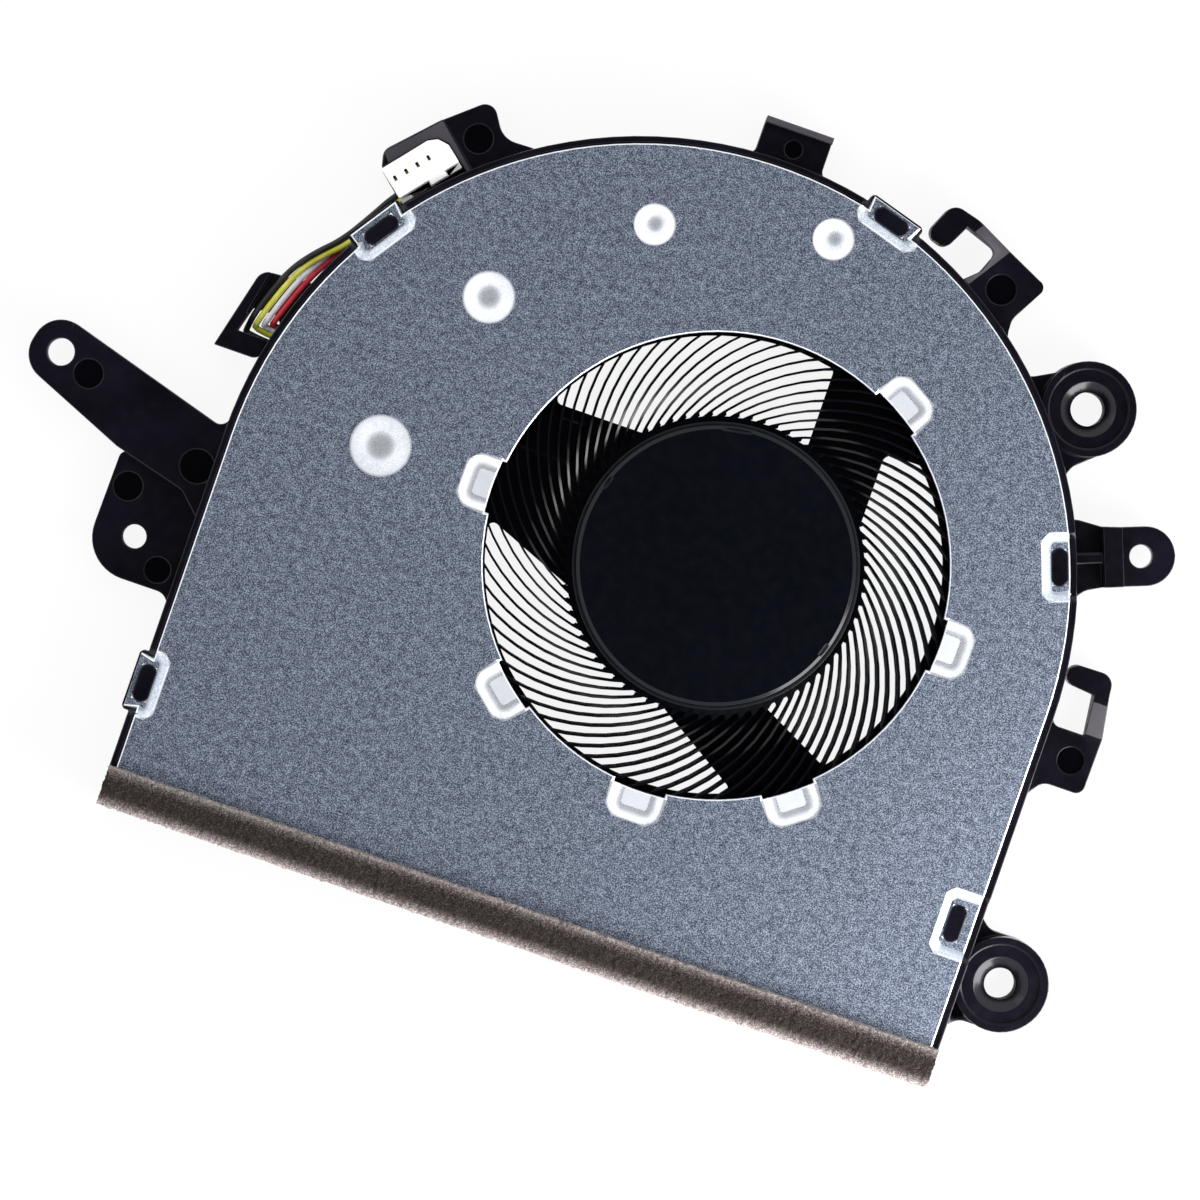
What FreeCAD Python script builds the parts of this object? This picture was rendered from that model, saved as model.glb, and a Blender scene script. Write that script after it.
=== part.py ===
"""A laptop blower fan: a moulded frame with a pressed steel cover, and an impeller on a flat motor.

The frame's origin is on the rotor's axis, at the underside of the floor. +Z points to the cover and
its inlet, +X runs along the outlet edge, and the air leaves at -Y. All sizes are in millimetres.
"""

import FreeCAD, Part
import math
import os

# Housing: half a circle, with two straight sides that run down to the outlet
HOUSING_RADIUS = 42.25
HOUSING_CENTRE_X = -6.65
HOUSING_CENTRE_Y = -3.3
OUTLET_Y = -40.8
HOUSING_HEIGHT = 6.0
FLOOR_THICKNESS = 0.8
WALL_THICKNESS = 1.5
LIP_WIDTH = 0.6
LIP_BELOW_TOP = 0.15

# Tongue: the solid corner that cuts the air off beside the outlet
TONGUE_GAP = 3.2
TONGUE_ANGLE = -39.0
TONGUE_TIP_RADIUS = 0.9
TONGUE_FOOT_Y = -33.5

# Cover: pressed steel sheet
COVER_THICKNESS = 0.4
COVER_GAP = 0.1
INLET_RADIUS = 22.5
INLET_PAD_BULGE = 0.4
INLET_PAD_ANGLES = (59.5, 179.5, 229.3, 270.0, 306.8, 359.3)
INLET_PAD_WIDTH = 5.2
INLET_PAD_REACH = 3.4
INLET_PAD_DEPTH = 0.3
INLET_PAD_SLOPE = 0.8
INLET_PAD_CORNER = 0.5
DIMPLE_GAP = 2.9
DIMPLE_FIRST_ANGLE = 89.4
DIMPLE_PITCH = 30.0
DIMPLE_RADII = (1.95, 1.95, 2.45, 2.9)
DIMPLE_FLAT = 0.35
DIMPLE_DEPTH = 0.45

# Heat stakes of the frame, and the sunk pads of the cover that they hold
STAKE_PAD_LENGTH = 5.4
STAKE_PAD_WIDTH = 2.2
STAKE_PAD_DEPTH = 0.3
STAKE_PAD_BEVEL = 0.6
STAKE_PAD_CORNER = 0.4
STAKE_TAB_REACH = 0.6
STAKE_HEAD_LENGTH = 3.7
STAKE_HEAD_WIDTH = 1.6
STAKE_HEAD_HEIGHT = 0.18
STAKE_POST_LENGTH = 3.0
STAKE_POST_WIDTH = 1.0
STAKE_GAP = 0.1

# Foam strip along the outlet
FOAM_WIDTH = 4.0
FOAM_THICKNESS = 1.6
FOAM_OVERHANG = 0.2

# Impeller
BLADE_COUNT = 71
BLADE_THICKNESS = 0.22
BLADE_ROOT_ANGLE = 35.4
BLADE_TIP_ANGLE = 18.9
BLADE_PHASE = -71.1
IMPELLER_RADIUS = 28.5
BLADE_HEIGHT = 3.6
BLADE_ROOT_HEIGHT = 1.7
ROOT_RING_WIDTH = 0.45
ROOT_RING_STEP = 0.1
BLADE_FULL_RADIUS = 17.5
BLADE_CHORDS = 4
FLOOR_TO_BLADE = 0.65
HUB_RADIUS = 13.9
HUB_HEIGHT = 3.9
HUB_SKIN = 0.7
HUB_CHAMFER = 0.5
TIP_RING_OVERLAP = 0.1
TIP_RING_WIDTH = 0.6
TIP_RING_HEIGHT = 0.6

# Intake windows in the floor, and the struts between them
WINDOW_RADIUS = 22.3
HUB_FLOOR_MARGIN = 0.1
WINDOW_CORNER = 0.9
UPPER_WINDOW_X = 4.85
UPPER_WINDOW_Y = 9.85
RIGHT_WINDOW_X = 12.2
RIGHT_WINDOW_Y = 15.7
RIGHT_WINDOW_FOOT_Y = -21.3

# Motor
SHAFT_RADIUS = 1.0
SHAFT_RUNNING_GAP = 0.02
SHAFT_SEAT_DEPTH = 1.4
SHAFT_BOSS_WALL = 1.2
SHAFT_GROOVE_DEPTH = 0.2
RETAINING_RING_RADIUS = 1.7
RETAINING_RING_THICKNESS = 0.2
THRUST_PLATE_THICKNESS = 0.25
END_PLAY = 0.05
BEARING_WALL = 1.35
BEARING_LENGTH = 2.2
OIL_SEAL_THICKNESS = 0.12
TUBE_WALL = 0.55
TUBE_FLOOR = 0.3
FIT_GAP = 0.03
COLLAR_WALL = 1.0
BOARD_THICKNESS = 0.3
BOARD_POCKET_DEPTH = 0.15
BOARD_POCKET_RIM = 0.6
BOARD_POCKET_GAP = 0.6
BOARD_TAB_ANGLE = 149.0
BOARD_TAB_SWEEP = 40.0
BOARD_TAB_REACH = 1.7
BOARD_TAB_GAP = 0.3
CHIP_INSET = 3.6
CHIP_SIZE = 2.6
CHIP_HEIGHT = 0.65
CAPACITOR_INSET = 4.6
CAPACITOR_LENGTH = 1.0
CAPACITOR_WIDTH = 0.6
CAPACITOR_HEIGHT = 0.5
CAPACITOR_SPREAD = 0.7
YOKE_THICKNESS = 0.4
MAGNET_THICKNESS = 1.2
MAGNET_HEIGHT = 2.6
AIR_GAP = 0.35
TOOTH_COUNT = 6
TOOTH_WIDTH = 2.2
CORE_THICKNESS = 1.0
CORE_HUB_WALL = 1.7
SHOE_DEPTH = 0.9
SHOE_SLOT = 1.1
INSULATOR_THICKNESS = 0.3
COIL_THICKNESS = 0.35
COIL_GAP = 0.3
STATOR_LIFT = 0.7

# Leads
WIRE_RADIUS = 0.3
WIRE_SIDES = 6
LEAD_BEND_SHARE = 0.45
LEAD_CHORD_ANGLE = 25.0
WIRE_PITCH = 0.65
WIRE_CHANNEL_Y = 6.7
WIRE_CHANNEL_DEPTH = 0.7
WIRE_CHANNEL_ROOF = 0.35
WIRE_NAMES = ("red", "white", "yellow", "black")

# Screw lugs and bosses, with the angles on the round wall where they stand
HOOK_ANGLE = 164.0
BRACKET_ANGLE = 131.5
TOP_EAR_ANGLE = 90.0
UPPER_HOOK_ANGLE = 57.0
UPPER_BOSS_ANGLE = 39.0
RIGHT_EAR_ANGLE = 21.0
LOWER_BOSS_Y = -29.35
ARM_HOLE_RADIUS = 1.33
LUG_HOLE_RADIUS = 1.17
EAR_HOLE_RADIUS = 1.13
UPPER_BOSS_HOLE_RADIUS = 1.65
LOWER_BOSS_HOLE_RADIUS = 1.55
BOSS_RADIUS = 4.65
BOSS_RIM_WIDTH = 0.75
BOSS_RIM_HEIGHT = 0.4
BOSS_CONE_RADIUS = 2.65
BOSS_CONE_DEPTH = 0.8
BOSS_BOTTOM = 0.6
BOSS_HEIGHT = 3.4

# Hook that the leads run through
HOOK_BOTTOM = 1.1
HOOK_TROUGH = 1.9
HOOK_TOP = 3.0

# Connector: four ways, with its contacts facing up
CONTACT_PITCH = 1.25
CONTACT_COUNT = 4
CONTACT_START = 0.65
CONTACT_Y = 2.45
CONTACT_SLOT_LENGTH = 0.55
CONTACT_SLOT_WIDTH = 0.3
CONNECTOR_LENGTH = 6.7
CONNECTOR_WIDTH = 3.9
CONNECTOR_X = -7.45
CONNECTOR_Y = -0.5
CONNECTOR_TURN = 9.0
CONNECTOR_HEIGHT = 3.2
CONNECTOR_BOTTOM = 2.3
CONNECTOR_WALL_GAP = 0.15
CONNECTOR_LEDGE_WIDTH = 0.6
CONNECTOR_LEDGE_DEPTH = 0.9
SOCKET_DEPTH = 0.6
SOCKET_GAP = 0.04
CONNECTOR_SHELF = 0.5
BRACKET_BASE = 0.9
BRACKET_RIM_TOP = 4.6
BRACKET_STEP_TOP = 3.4

# Heights and places that follow from the sizes above
V = FreeCAD.Vector
LEDGE_Z = HOUSING_HEIGHT - COVER_THICKNESS
LIP_Z = HOUSING_HEIGHT - LIP_BELOW_TOP
COVER_INSET = LIP_WIDTH + COVER_GAP
LEFT_X = HOUSING_CENTRE_X - HOUSING_RADIUS
RIGHT_X = HOUSING_CENTRE_X + HOUSING_RADIUS
ROOT = WALL_THICKNESS / 2
BLADE_BOTTOM = FLOOR_THICKNESS + FLOOR_TO_BLADE
BLADE_TOP = BLADE_BOTTOM + BLADE_HEIGHT
HUB_TOP = BLADE_BOTTOM + HUB_HEIGHT
HUB_INNER_RADIUS = HUB_RADIUS - HUB_SKIN
ROOT_RING_RADIUS = HUB_RADIUS + ROOT_RING_WIDTH
ROOT_RING_TOP = BLADE_BOTTOM + BLADE_ROOT_HEIGHT
HUB_FLOOR_RADIUS = HUB_RADIUS + HUB_FLOOR_MARGIN
BOARD_POCKET_RADIUS = HUB_FLOOR_RADIUS - BOARD_POCKET_RIM
BOARD_RADIUS = BOARD_POCKET_RADIUS - BOARD_POCKET_GAP
BOARD_TAB_RADIUS = HUB_FLOOR_RADIUS + BOARD_TAB_REACH
BOARD_Z = FLOOR_THICKNESS - BOARD_POCKET_DEPTH
BOARD_TOP = BOARD_Z + BOARD_THICKNESS
STATOR_Z = BOARD_TOP + STATOR_LIFT
CORE_Z = STATOR_Z + INSULATOR_THICKNESS
STATOR_TOP = CORE_Z + CORE_THICKNESS + INSULATOR_THICKNESS
YOKE_TOP = HUB_TOP - HUB_SKIN
YOKE_RADIUS = HUB_INNER_RADIUS - FIT_GAP
MAGNET_RADIUS = YOKE_RADIUS - YOKE_THICKNESS - FIT_GAP
STATOR_RADIUS = MAGNET_RADIUS - MAGNET_THICKNESS - AIR_GAP
SHAFT_BOTTOM = TUBE_FLOOR + THRUST_PLATE_THICKNESS + END_PLAY
SHAFT_TOP = HUB_TOP - HUB_SKIN / 2
BEARING_BORE = SHAFT_RADIUS + SHAFT_RUNNING_GAP
BEARING_RADIUS = BEARING_BORE + BEARING_WALL
TUBE_BORE = BEARING_RADIUS + FIT_GAP
TUBE_RADIUS = TUBE_BORE + TUBE_WALL
BEARING_TOP = STATOR_TOP
BEARING_BOTTOM = BEARING_TOP - BEARING_LENGTH
CHANNEL_WIDTH = WIRE_PITCH * len(WIRE_NAMES) + 0.2


def disc(radius, bottom, top, x=0.0, y=0.0):
    return Part.makeCylinder(radius, top - bottom, V(x, y, bottom))


def ring(outer, inner, bottom, top, x=0.0, y=0.0):
    return disc(outer, bottom, top, x, y).cut(disc(inner, bottom, top, x, y))


def box(x0, x1, y0, y1, bottom, top):
    return Part.makeBox(x1 - x0, y1 - y0, top - bottom, V(x0, y0, bottom))


def unit(a, b):
    length = math.dist(a[:2], b[:2])
    return ((b[0] - a[0]) / length, (b[1] - a[1]) / length)


def rounded(before, corner, after):
    """The tangent points and middle point of a corner's arc, or None where it stays sharp."""
    x, y, radius = corner
    if radius <= 0:
        return None
    back, on = unit(corner, before), unit(corner, after)
    half = math.acos(max(-1.0, min(1.0, back[0] * on[0] + back[1] * on[1]))) / 2
    if half > math.radians(89):
        return None
    room = 0.49 * min(math.dist(corner[:2], before[:2]), math.dist(corner[:2], after[:2]))
    reach = min(radius / math.tan(half), room)
    radius = reach * math.tan(half)
    middle = unit((0, 0), (back[0] + on[0], back[1] + on[1]))
    depth = radius / math.sin(half) - radius
    return (
        V(x + back[0] * reach, y + back[1] * reach, 0),
        V(x + middle[0] * depth, y + middle[1] * depth, 0),
        V(x + on[0] * reach, y + on[1] * reach, 0),
    )


def outline(corners):
    """A closed wire through corners given as (x, y, radius)."""
    arcs = [
        rounded(corners[i - 1], corners[i], corners[(i + 1) % len(corners)])
        for i in range(len(corners))
    ]
    edges = []
    for i, corner in enumerate(corners):
        nxt = (i + 1) % len(corners)
        start = arcs[i][2] if arcs[i] else V(corner[0], corner[1], 0)
        end = arcs[nxt][0] if arcs[nxt] else V(corners[nxt][0], corners[nxt][1], 0)
        if arcs[i]:
            edges.append(Part.Arc(*arcs[i]).toShape())
        edges.append(Part.LineSegment(start, end).toShape())
    return Part.Wire(edges)


def prism(wire, bottom, top):
    face = Part.Face(wire)
    face.translate(V(0, 0, bottom))
    return face.extrude(V(0, 0, top - bottom))


def plate(corners, bottom, top):
    return prism(outline(corners), bottom, top)


def cut_corners(length, width, x=0.0, y=0.0):
    """An oblong along x with its corners cut, for the melted head of a stake."""
    a, b, c = length / 2, width / 2, width * 0.32
    return [(x - a, y - b + c, 0), (x - a + c, y - b, 0), (x + a - c, y - b, 0), (x + a, y - b + c, 0),
            (x + a, y + b - c, 0), (x + a - c, y + b, 0), (x - a + c, y + b, 0), (x - a, y + b - c, 0)]


def frustum(low, low_z, high, high_z):
    """A solid between two outlines of sharp corners, at two heights, whose sides are parallel."""
    below = [V(x, y, low_z) for x, y, sharp in low]
    above = [V(x, y, high_z) for x, y, sharp in high]
    faces = [Part.Face(Part.makePolygon(rim + rim[:1])) for rim in (below, above)]
    for i in range(len(below)):
        side = [below[i - 1], below[i], above[i], above[i - 1], below[i - 1]]
        faces.append(Part.Face(Part.makePolygon(side)))
    return Part.Solid(Part.Shell(faces))


def open_bay(near, far, half, cut):
    """An outline that starts at x = near and ends at x = far, where its two corners are cut off."""
    return [(near, -half, 0), (far - cut, -half, 0), (far, -half + cut, 0),
            (far, half - cut, 0), (far - cut, half, 0), (near, half, 0)]


def turned(shape, angle):
    return shape.rotated(V(0, 0, 0), V(0, 0, 1), angle)


def spun(profile):
    """A solid of revolution about the rotor's axis, from (radius, z) points."""
    points = [V(r, 0, z) for r, z in profile]
    wire = Part.makePolygon(points + points[:1])
    return Part.Face(wire).revolve(V(0, 0, 0), V(0, 0, 1), 360)


def fused(shapes):
    whole = shapes[0].multiFuse(shapes[1:]) if len(shapes) > 1 else shapes[0]
    return whole.removeSplitter()


def by_wall(angle, out, z):
    """A point at an angle on the round wall, and a distance outside it."""
    reach, a = HOUSING_RADIUS + out, math.radians(angle)
    return V(HOUSING_CENTRE_X + reach * math.cos(a), HOUSING_CENTRE_Y + reach * math.sin(a), z)


def on_wall(shape, angle):
    """Moves a shape drawn with y outwards from the wall's outer face to an angle on the round wall."""
    return turned(shape, angle - 90).translated(by_wall(angle, 0, 0))


def on_left(shape, y):
    return turned(shape, 90).translated(V(LEFT_X, y, 0))


def on_right(shape, y):
    return turned(shape, -90).translated(V(RIGHT_X, y, 0))


# Where each stake stands: how it is placed, where along the wall, and how far in from its outer face
STAKES = (
    (on_wall, 145.9, 0.8, True),
    (on_wall, 73.7, 0.5, True),
    (on_wall, 20.2, 1.75, False),
    (on_right, -25.1, 2.5, False),
    (on_left, -28.6, 0.6, True),
)


def housing_outline(inset, outlet_y):
    """The housing's U shape, drawn in from its outer face by inset, and closed by a line at outlet_y."""
    r = HOUSING_RADIUS - inset
    left, right = V(HOUSING_CENTRE_X - r, HOUSING_CENTRE_Y, 0), V(HOUSING_CENTRE_X + r, HOUSING_CENTRE_Y, 0)
    crown = V(HOUSING_CENTRE_X, HOUSING_CENTRE_Y + r, 0)
    low_left, low_right = V(left.x, outlet_y, 0), V(right.x, outlet_y, 0)
    return Part.Wire(
        [
            Part.LineSegment(low_left, left).toShape(),
            Part.Arc(left, crown, right).toShape(),
            Part.LineSegment(right, low_right).toShape(),
            Part.LineSegment(low_right, low_left).toShape(),
        ]
    )


def tongue():
    """The block whose round nose follows the impeller and whose back slopes to the outlet."""
    nose = IMPELLER_RADIUS + TONGUE_GAP
    a = math.radians(TONGUE_ANGLE)
    tip = (nose * math.cos(a), nose * math.sin(a))
    side = RIGHT_X - ROOT
    top_y = HOUSING_CENTRE_Y + 4.0
    bend = (RIGHT_X - WALL_THICKNESS - 0.4, (top_y + tip[1]) * 0.42)
    return plate(
        [
            (side, top_y, 0),
            (RIGHT_X - WALL_THICKNESS, top_y - 1.0, 0),
            (bend[0], bend[1], nose * 0.6),
            (tip[0], tip[1], TONGUE_TIP_RADIUS),
            (RIGHT_X - WALL_THICKNESS, TONGUE_FOOT_Y, 6.0),
            (side, TONGUE_FOOT_Y - 1.0, 0),
        ],
        0,
        LEDGE_Z,
    )


def window_blanks():
    """The three openings as flat outlines, before they are cut to the ring between hub and rim."""
    far = WINDOW_RADIUS * 1.3
    x, y = UPPER_WINDOW_X, UPPER_WINDOW_Y
    top = [(-far, y, 0), (x, y, 0), (x, far, 0), (-far, far, 0)]
    x, y = RIGHT_WINDOW_X, RIGHT_WINDOW_Y
    right = [(x, y, WINDOW_CORNER), (x, 0, 0), (2.0, -7.8, 0), (far, RIGHT_WINDOW_FOOT_Y, 0), (far, y, 0)]
    low = [(0.3, -15.0, 0), (-9.0, -8.1, 0), (-far, 0.0, 0), (-far, -far, 0), (far * 0.8, -far, 0)]
    return top, right, low


def windows():
    band = ring(WINDOW_RADIUS, HUB_FLOOR_RADIUS, -1.0, FLOOR_THICKNESS + 1.0)
    cuts = []
    for blank in window_blanks():
        cut = band.common(plate(blank, -1.0, FLOOR_THICKNESS + 1.0))
        upright = [e for e in cut.Edges if abs(e.BoundBox.ZLength - FLOOR_THICKNESS - 2.0) < 0.01]
        cuts.append(cut.makeFillet(WINDOW_CORNER * 0.6, upright))
    return cuts


def shell():
    """Floor, wall and lip, with the tongue, before the lugs are added."""
    body = prism(housing_outline(0, OUTLET_Y), 0, LIP_Z)
    room = prism(housing_outline(WALL_THICKNESS, OUTLET_Y - 5), FLOOR_THICKNESS, LIP_Z + 1)
    seat = prism(housing_outline(LIP_WIDTH, OUTLET_Y - 5), LEDGE_Z, LIP_Z + 1)
    return body.cut(room).cut(seat).fuse(tongue())


def stake_seat(depth, has_tab):
    """The block under a sunk pad, in the wall's own frame."""
    half = STAKE_PAD_LENGTH / 2 + 0.3
    back = -depth - STAKE_PAD_WIDTH / 2
    front = STAKE_TAB_REACH + 0.2 if has_tab else -ROOT
    low = LEDGE_Z - 1.4 if has_tab else FLOOR_THICKNESS / 2
    corners = [(-half, back, 0.5), (half, back, 0.5), (half, front, 0.5), (-half, front, 0.5)]
    return plate(corners, low, LEDGE_Z)


def pad_outline(depth, reach, grow):
    """The sunk pad's outline, open at the cover's edge, grown by a bevel."""
    back = depth + STAKE_PAD_WIDTH / 2 + grow
    bay = open_bay(-reach, back, STAKE_PAD_LENGTH / 2 + grow, STAKE_PAD_CORNER + grow / 2)
    return [(y, -x, 0) for x, y, sharp in bay]


def pad_room(depth, top_z, bottom_z, reach):
    """What a pad takes: bevelled sides from top_z to bottom_z, and open above."""
    wide = pad_outline(depth, reach, STAKE_PAD_BEVEL)
    narrow = pad_outline(depth, reach, 0.0)
    return frustum(narrow, bottom_z, wide, top_z).fuse(plate(wide, top_z, top_z + 1.0))


def stake(depth):
    low = LEDGE_Z - STAKE_PAD_DEPTH
    high = HOUSING_HEIGHT - STAKE_PAD_DEPTH
    a, b = STAKE_POST_LENGTH / 2, STAKE_POST_WIDTH / 2
    post = box(-a, a, -depth - b, -depth + b, low - 0.3, high)
    head = cut_corners(STAKE_HEAD_LENGTH, STAKE_HEAD_WIDTH, 0, -depth)
    return post.fuse(plate(head, high, high + STAKE_HEAD_HEIGHT))


def bored_boss(hole_radius):
    """A round screw boss with a shallow rim and a countersink, about its own axis."""
    low, high = BOSS_BOTTOM, BOSS_BOTTOM + BOSS_HEIGHT
    dish = high - BOSS_RIM_HEIGHT
    profile = [
        (hole_radius, low),
        (BOSS_RADIUS, low),
        (BOSS_RADIUS, high),
        (BOSS_RADIUS - BOSS_RIM_WIDTH, high),
        (BOSS_RADIUS - BOSS_RIM_WIDTH, dish),
        (BOSS_CONE_RADIUS, dish),
        (hole_radius, dish - BOSS_CONE_DEPTH),
    ]
    return spun(profile)


def boss_bore():
    return disc(BOSS_RADIUS - 0.1, -1, HOUSING_HEIGHT + 1)


def left_arm():
    """The long raised arm, with its screw hole near the tip."""
    x, y, tip, low, high = 2.14, 17.45, 2.95, 1.9, 3.9
    arm = plate(
        [
            (3.6, -ROOT, 0),
            (3.0, -0.1, 0),
            (0.2, 0.0, 2.4),
            (x + tip * 1.29, y + tip * 0.7, tip * 0.96),
            (x - tip * 0.66, y + tip * 1.2, tip * 0.96),
            (-4.7, 9.4, 0),
            (-6.6, 2.2, 1.6),
            (-8.7, 0.0, 0),
            (-8.7, -ROOT, 0),
        ],
        low,
        high,
    )
    return arm.cut(disc(ARM_HOLE_RADIUS, 0, HOUSING_HEIGHT, x, y))


def left_lug():
    """The lower plate beside the arm."""
    x, y, low, high = -12.42, 5.1, 0.4, 2.1
    lug = plate(
        [
            (-3.7, -ROOT, 0),
            (-3.7, 7.5, 0),
            (-5.3, 9.0, 0.8),
            (-16.7, 9.25, 4.2),
            (-16.7, 0.0, 1.6),
            (-19.4, -0.05, 0),
            (-19.4, -ROOT, 0),
        ],
        low,
        high,
    )
    return lug.cut(disc(LUG_HOLE_RADIUS, 0, HOUSING_HEIGHT, x, y))


def wire_hook():
    """The open hook that the leads run through."""
    whole = [
        (5.2, -0.95, 0),
        (3.19, 4.49, 1.4),
        (-5.35, 4.17, 0),
        (-4.07, -0.35, 1.0),
        (-2.10, 0.27, 0),
        (-2.90, 3.06, 0),
        (-0.26, 3.09, 0),
        (0.41, 0.78, 0),
        (-0.9, -0.85, 0),
    ]
    body = plate(whole, HOOK_BOTTOM, HOOK_TOP)
    trough = plate([(-1, -1, 0), (-1, 3.3, 0), (6.5, 3.9, 0), (6.5, -1, 0)], HOOK_TROUGH, HOUSING_HEIGHT)
    return body.cut(trough)


def upper_hook():
    """The hook at the upper right, open towards the stake."""
    whole = [
        (-2.9, -0.9, 0),
        (-3.27, 0.34, 0),
        (-2.87, 1.91, 1.0),
        (-3.36, 4.33, 0.7),
        (-7.02, 3.45, 0),
        (-6.71, 0.49, 0.9),
        (-9.02, -0.18, 1.0),
        (-9.69, 3.80, 1.3),
        (-6.85, 4.75, 4.0),
        (2.34, 6.01, 0.8),
        (2.68, 1.46, 1.6),
        (3.81, -0.15, 0),
        (3.6, -0.9, 0),
    ]
    body = plate(whole, 1.0, 3.8)
    step = plate([(-2.6, -2, 0), (-2.6, 7, 0), (6, 7, 0), (6, -2, 0)], 3.0, 5.0)
    return body.cut(step)


def right_hook():
    """The hook half-way down the right side."""
    whole = [
        (1.30 - 2.6, -0.8, 0),
        (-0.70, 0.0, 0),
        (0.60, 0.60, 0.9),
        (0.60, 3.80, 0),
        (-3.40, 3.30, 0),
        (-3.70, 0.15, 0.9),
        (-5.70, 0.30, 1.0),
        (-5.80, 4.50, 1.6),
        (-3.40, 4.78, 2.0),
        (0.40, 5.55, 0),
        (6.20, 5.45, 0.9),
        (6.20, 1.40, 1.5),
        (8.30, -0.05, 0),
        (8.30, -0.8, 0),
    ]
    body = plate(whole, 0.8, 3.4)
    step = plate([(0.4, 0.1, 0), (0.4, 7, 0), (9, 7, 0), (9, 0.1, 0)], 2.6, 5.0)
    return body.cut(step)


def right_ear():
    """The screw ear on the right: a low base with a raised bar and a rib, then a rounded end."""
    x, y, tip, low = -0.19, 6.45, 2.9, 0.8
    base = plate(
        [(-4.2, -1.1, 0), (-3.9, 0.64, 0), (-3.2, 2.8, 0), (x + tip, 2.8, 0),
         (3.0, 1.0, 1.5), (3.8, -0.24, 0), (3.8, -1.1, 0)],
        low,
        2.4,
    )
    bar = plate([(-3.2, 2.7, 0), (x - tip, 4.6, 0), (x + tip, 4.6, 0), (x + tip, 2.7, 0)], low, 4.6)
    rib = box(-0.6, 0.3, -ROOT, 3.0, low, 4.0)
    end = plate(
        [(x - tip, 3.5, 0), (x - tip, y + tip + 0.4, tip * 0.98), (x + tip, y + tip + 0.4, tip * 0.98),
         (x + tip, 3.5, 0)],
        1.8,
        3.4,
    )
    ear = base.multiFuse([bar, rib, end])
    return ear.cut(disc(EAR_HOLE_RADIUS, 0, HOUSING_HEIGHT, x, y))


def top_ear():
    """The small square ear at the top, with a turned-up end."""
    base = plate(
        [(-4.6, -0.75, 0), (-4.4, -0.25, 0), (-2.8, -0.1, 1.3), (-2.8, 3.8, 0), (4.0, 3.8, 0),
         (4.0, -0.15, 1.3), (5.6, -0.35, 0), (5.7, -0.95, 0)],
        0.8,
        2.4,
    )
    lip = box(-2.8, 4.0, 3.1, 3.8, 2.0, 3.6)
    return base.fuse(lip)


def upper_boss():
    neck = plate(
        [(-5.5, -0.9, 0), (-5.04, 0.45, 1.0), (-4.4, 4.1, 0),
         (4.3, 4.1, 0), (4.46, 0.91, 1.5), (5.5, -0.9, 0)],
        BOSS_BOTTOM,
        2.4,
    )
    return boss_with(neck, -0.29, 4.11, UPPER_BOSS_HOLE_RADIUS)


def boss_with(neck, x, y, hole_radius):
    boss = bored_boss(hole_radius).translated(V(x, y, 0))
    return neck.cut(boss_bore().translated(V(x, y, 0))).fuse(boss)


def lower_boss():
    y = 3.9
    neck = plate(
        [(-5.75, -ROOT, 0), (-5.75, 0.0, 0), (-4.62, 1.3, 1.8), (-4.62, y, 0),
         (4.62, y, 0), (4.62, 1.3, 1.8), (5.85, 0.0, 0), (5.85, -ROOT, 0)],
        BOSS_BOTTOM,
        2.2,
    )
    return boss_with(neck, 0.0, y, LOWER_BOSS_HOLE_RADIUS)


def bracket():
    """The connector's bracket: a base, a rim round the connector, and a lower block at one end."""
    whole = [
        (-6.4, -1.3, 0),
        (-7.5, -0.9, 0),
        (-8.05, 3.4, 0),
        (-7.2, 5.0, 1.2),
        (-1.1, 5.6, 6.0),
        (4.5, 5.5, 1.2),
        (3.9, 1.7, 2.2),
        (6.3, -0.3, 0),
        (6.0, -1.1, 0),
    ]
    rim = plate(whole, BRACKET_BASE, BRACKET_RIM_TOP)
    rim = rim.cut(connector_block(CONNECTOR_WALL_GAP, CONNECTOR_BOTTOM, HOUSING_HEIGHT))
    rim = rim.cut(connector_block(-CONNECTOR_SHELF, 0, HOUSING_HEIGHT))
    far = CONNECTOR_LENGTH + CONNECTOR_WALL_GAP
    rim = rim.cut(in_connector(box(-3, 1.5, -2.5, 2.9, 0, HOUSING_HEIGHT)))
    rim = rim.cut(in_connector(box(-3, far, -2.5, 0.8, 0, HOUSING_HEIGHT)))
    lowered = plate([(0.2, -2, 0), (-1.1, 8, 0), (8, 8, 0), (8, -2, 0)], BRACKET_STEP_TOP, HOUSING_HEIGHT)
    return plate(whole, 0, BRACKET_BASE).fuse(rim.cut(lowered))


def in_connector(shape):
    """Moves a shape from the connector's own frame, x along it and y outwards, to the bracket's."""
    return turned(shape, CONNECTOR_TURN).translated(V(CONNECTOR_X, CONNECTOR_Y, 0))


def connector_block(gap, bottom, top):
    """The connector's outline grown by a gap, with its keyed corner."""
    far, end = CONNECTOR_WIDTH + gap, CONNECTOR_LENGTH + gap
    key = [(end, far - 1.4, 0), (end - 0.6, far - 0.4, 0), (end - 1.55, far, 0)]
    return in_connector(plate([(-gap, -gap, 0), (end, -gap, 0)] + key + [(-gap, far, 0)], bottom, top))


def channel():
    """The groove under the floor that the leads lie in, from the board to the outside."""
    half = CHANNEL_WIDTH / 2
    return box(LEFT_X - 1, LEAD_START_X + 2 * WIRE_RADIUS, WIRE_CHANNEL_Y - half, WIRE_CHANNEL_Y + half,
               -1, WIRE_CHANNEL_DEPTH)


def wall_x(y, out):
    """Where the left half of the round wall, or a line a distance outside it, lies at a height y."""
    return HOUSING_CENTRE_X - math.sqrt((HOUSING_RADIUS + out) ** 2 - (y - HOUSING_CENTRE_Y) ** 2)


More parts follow.
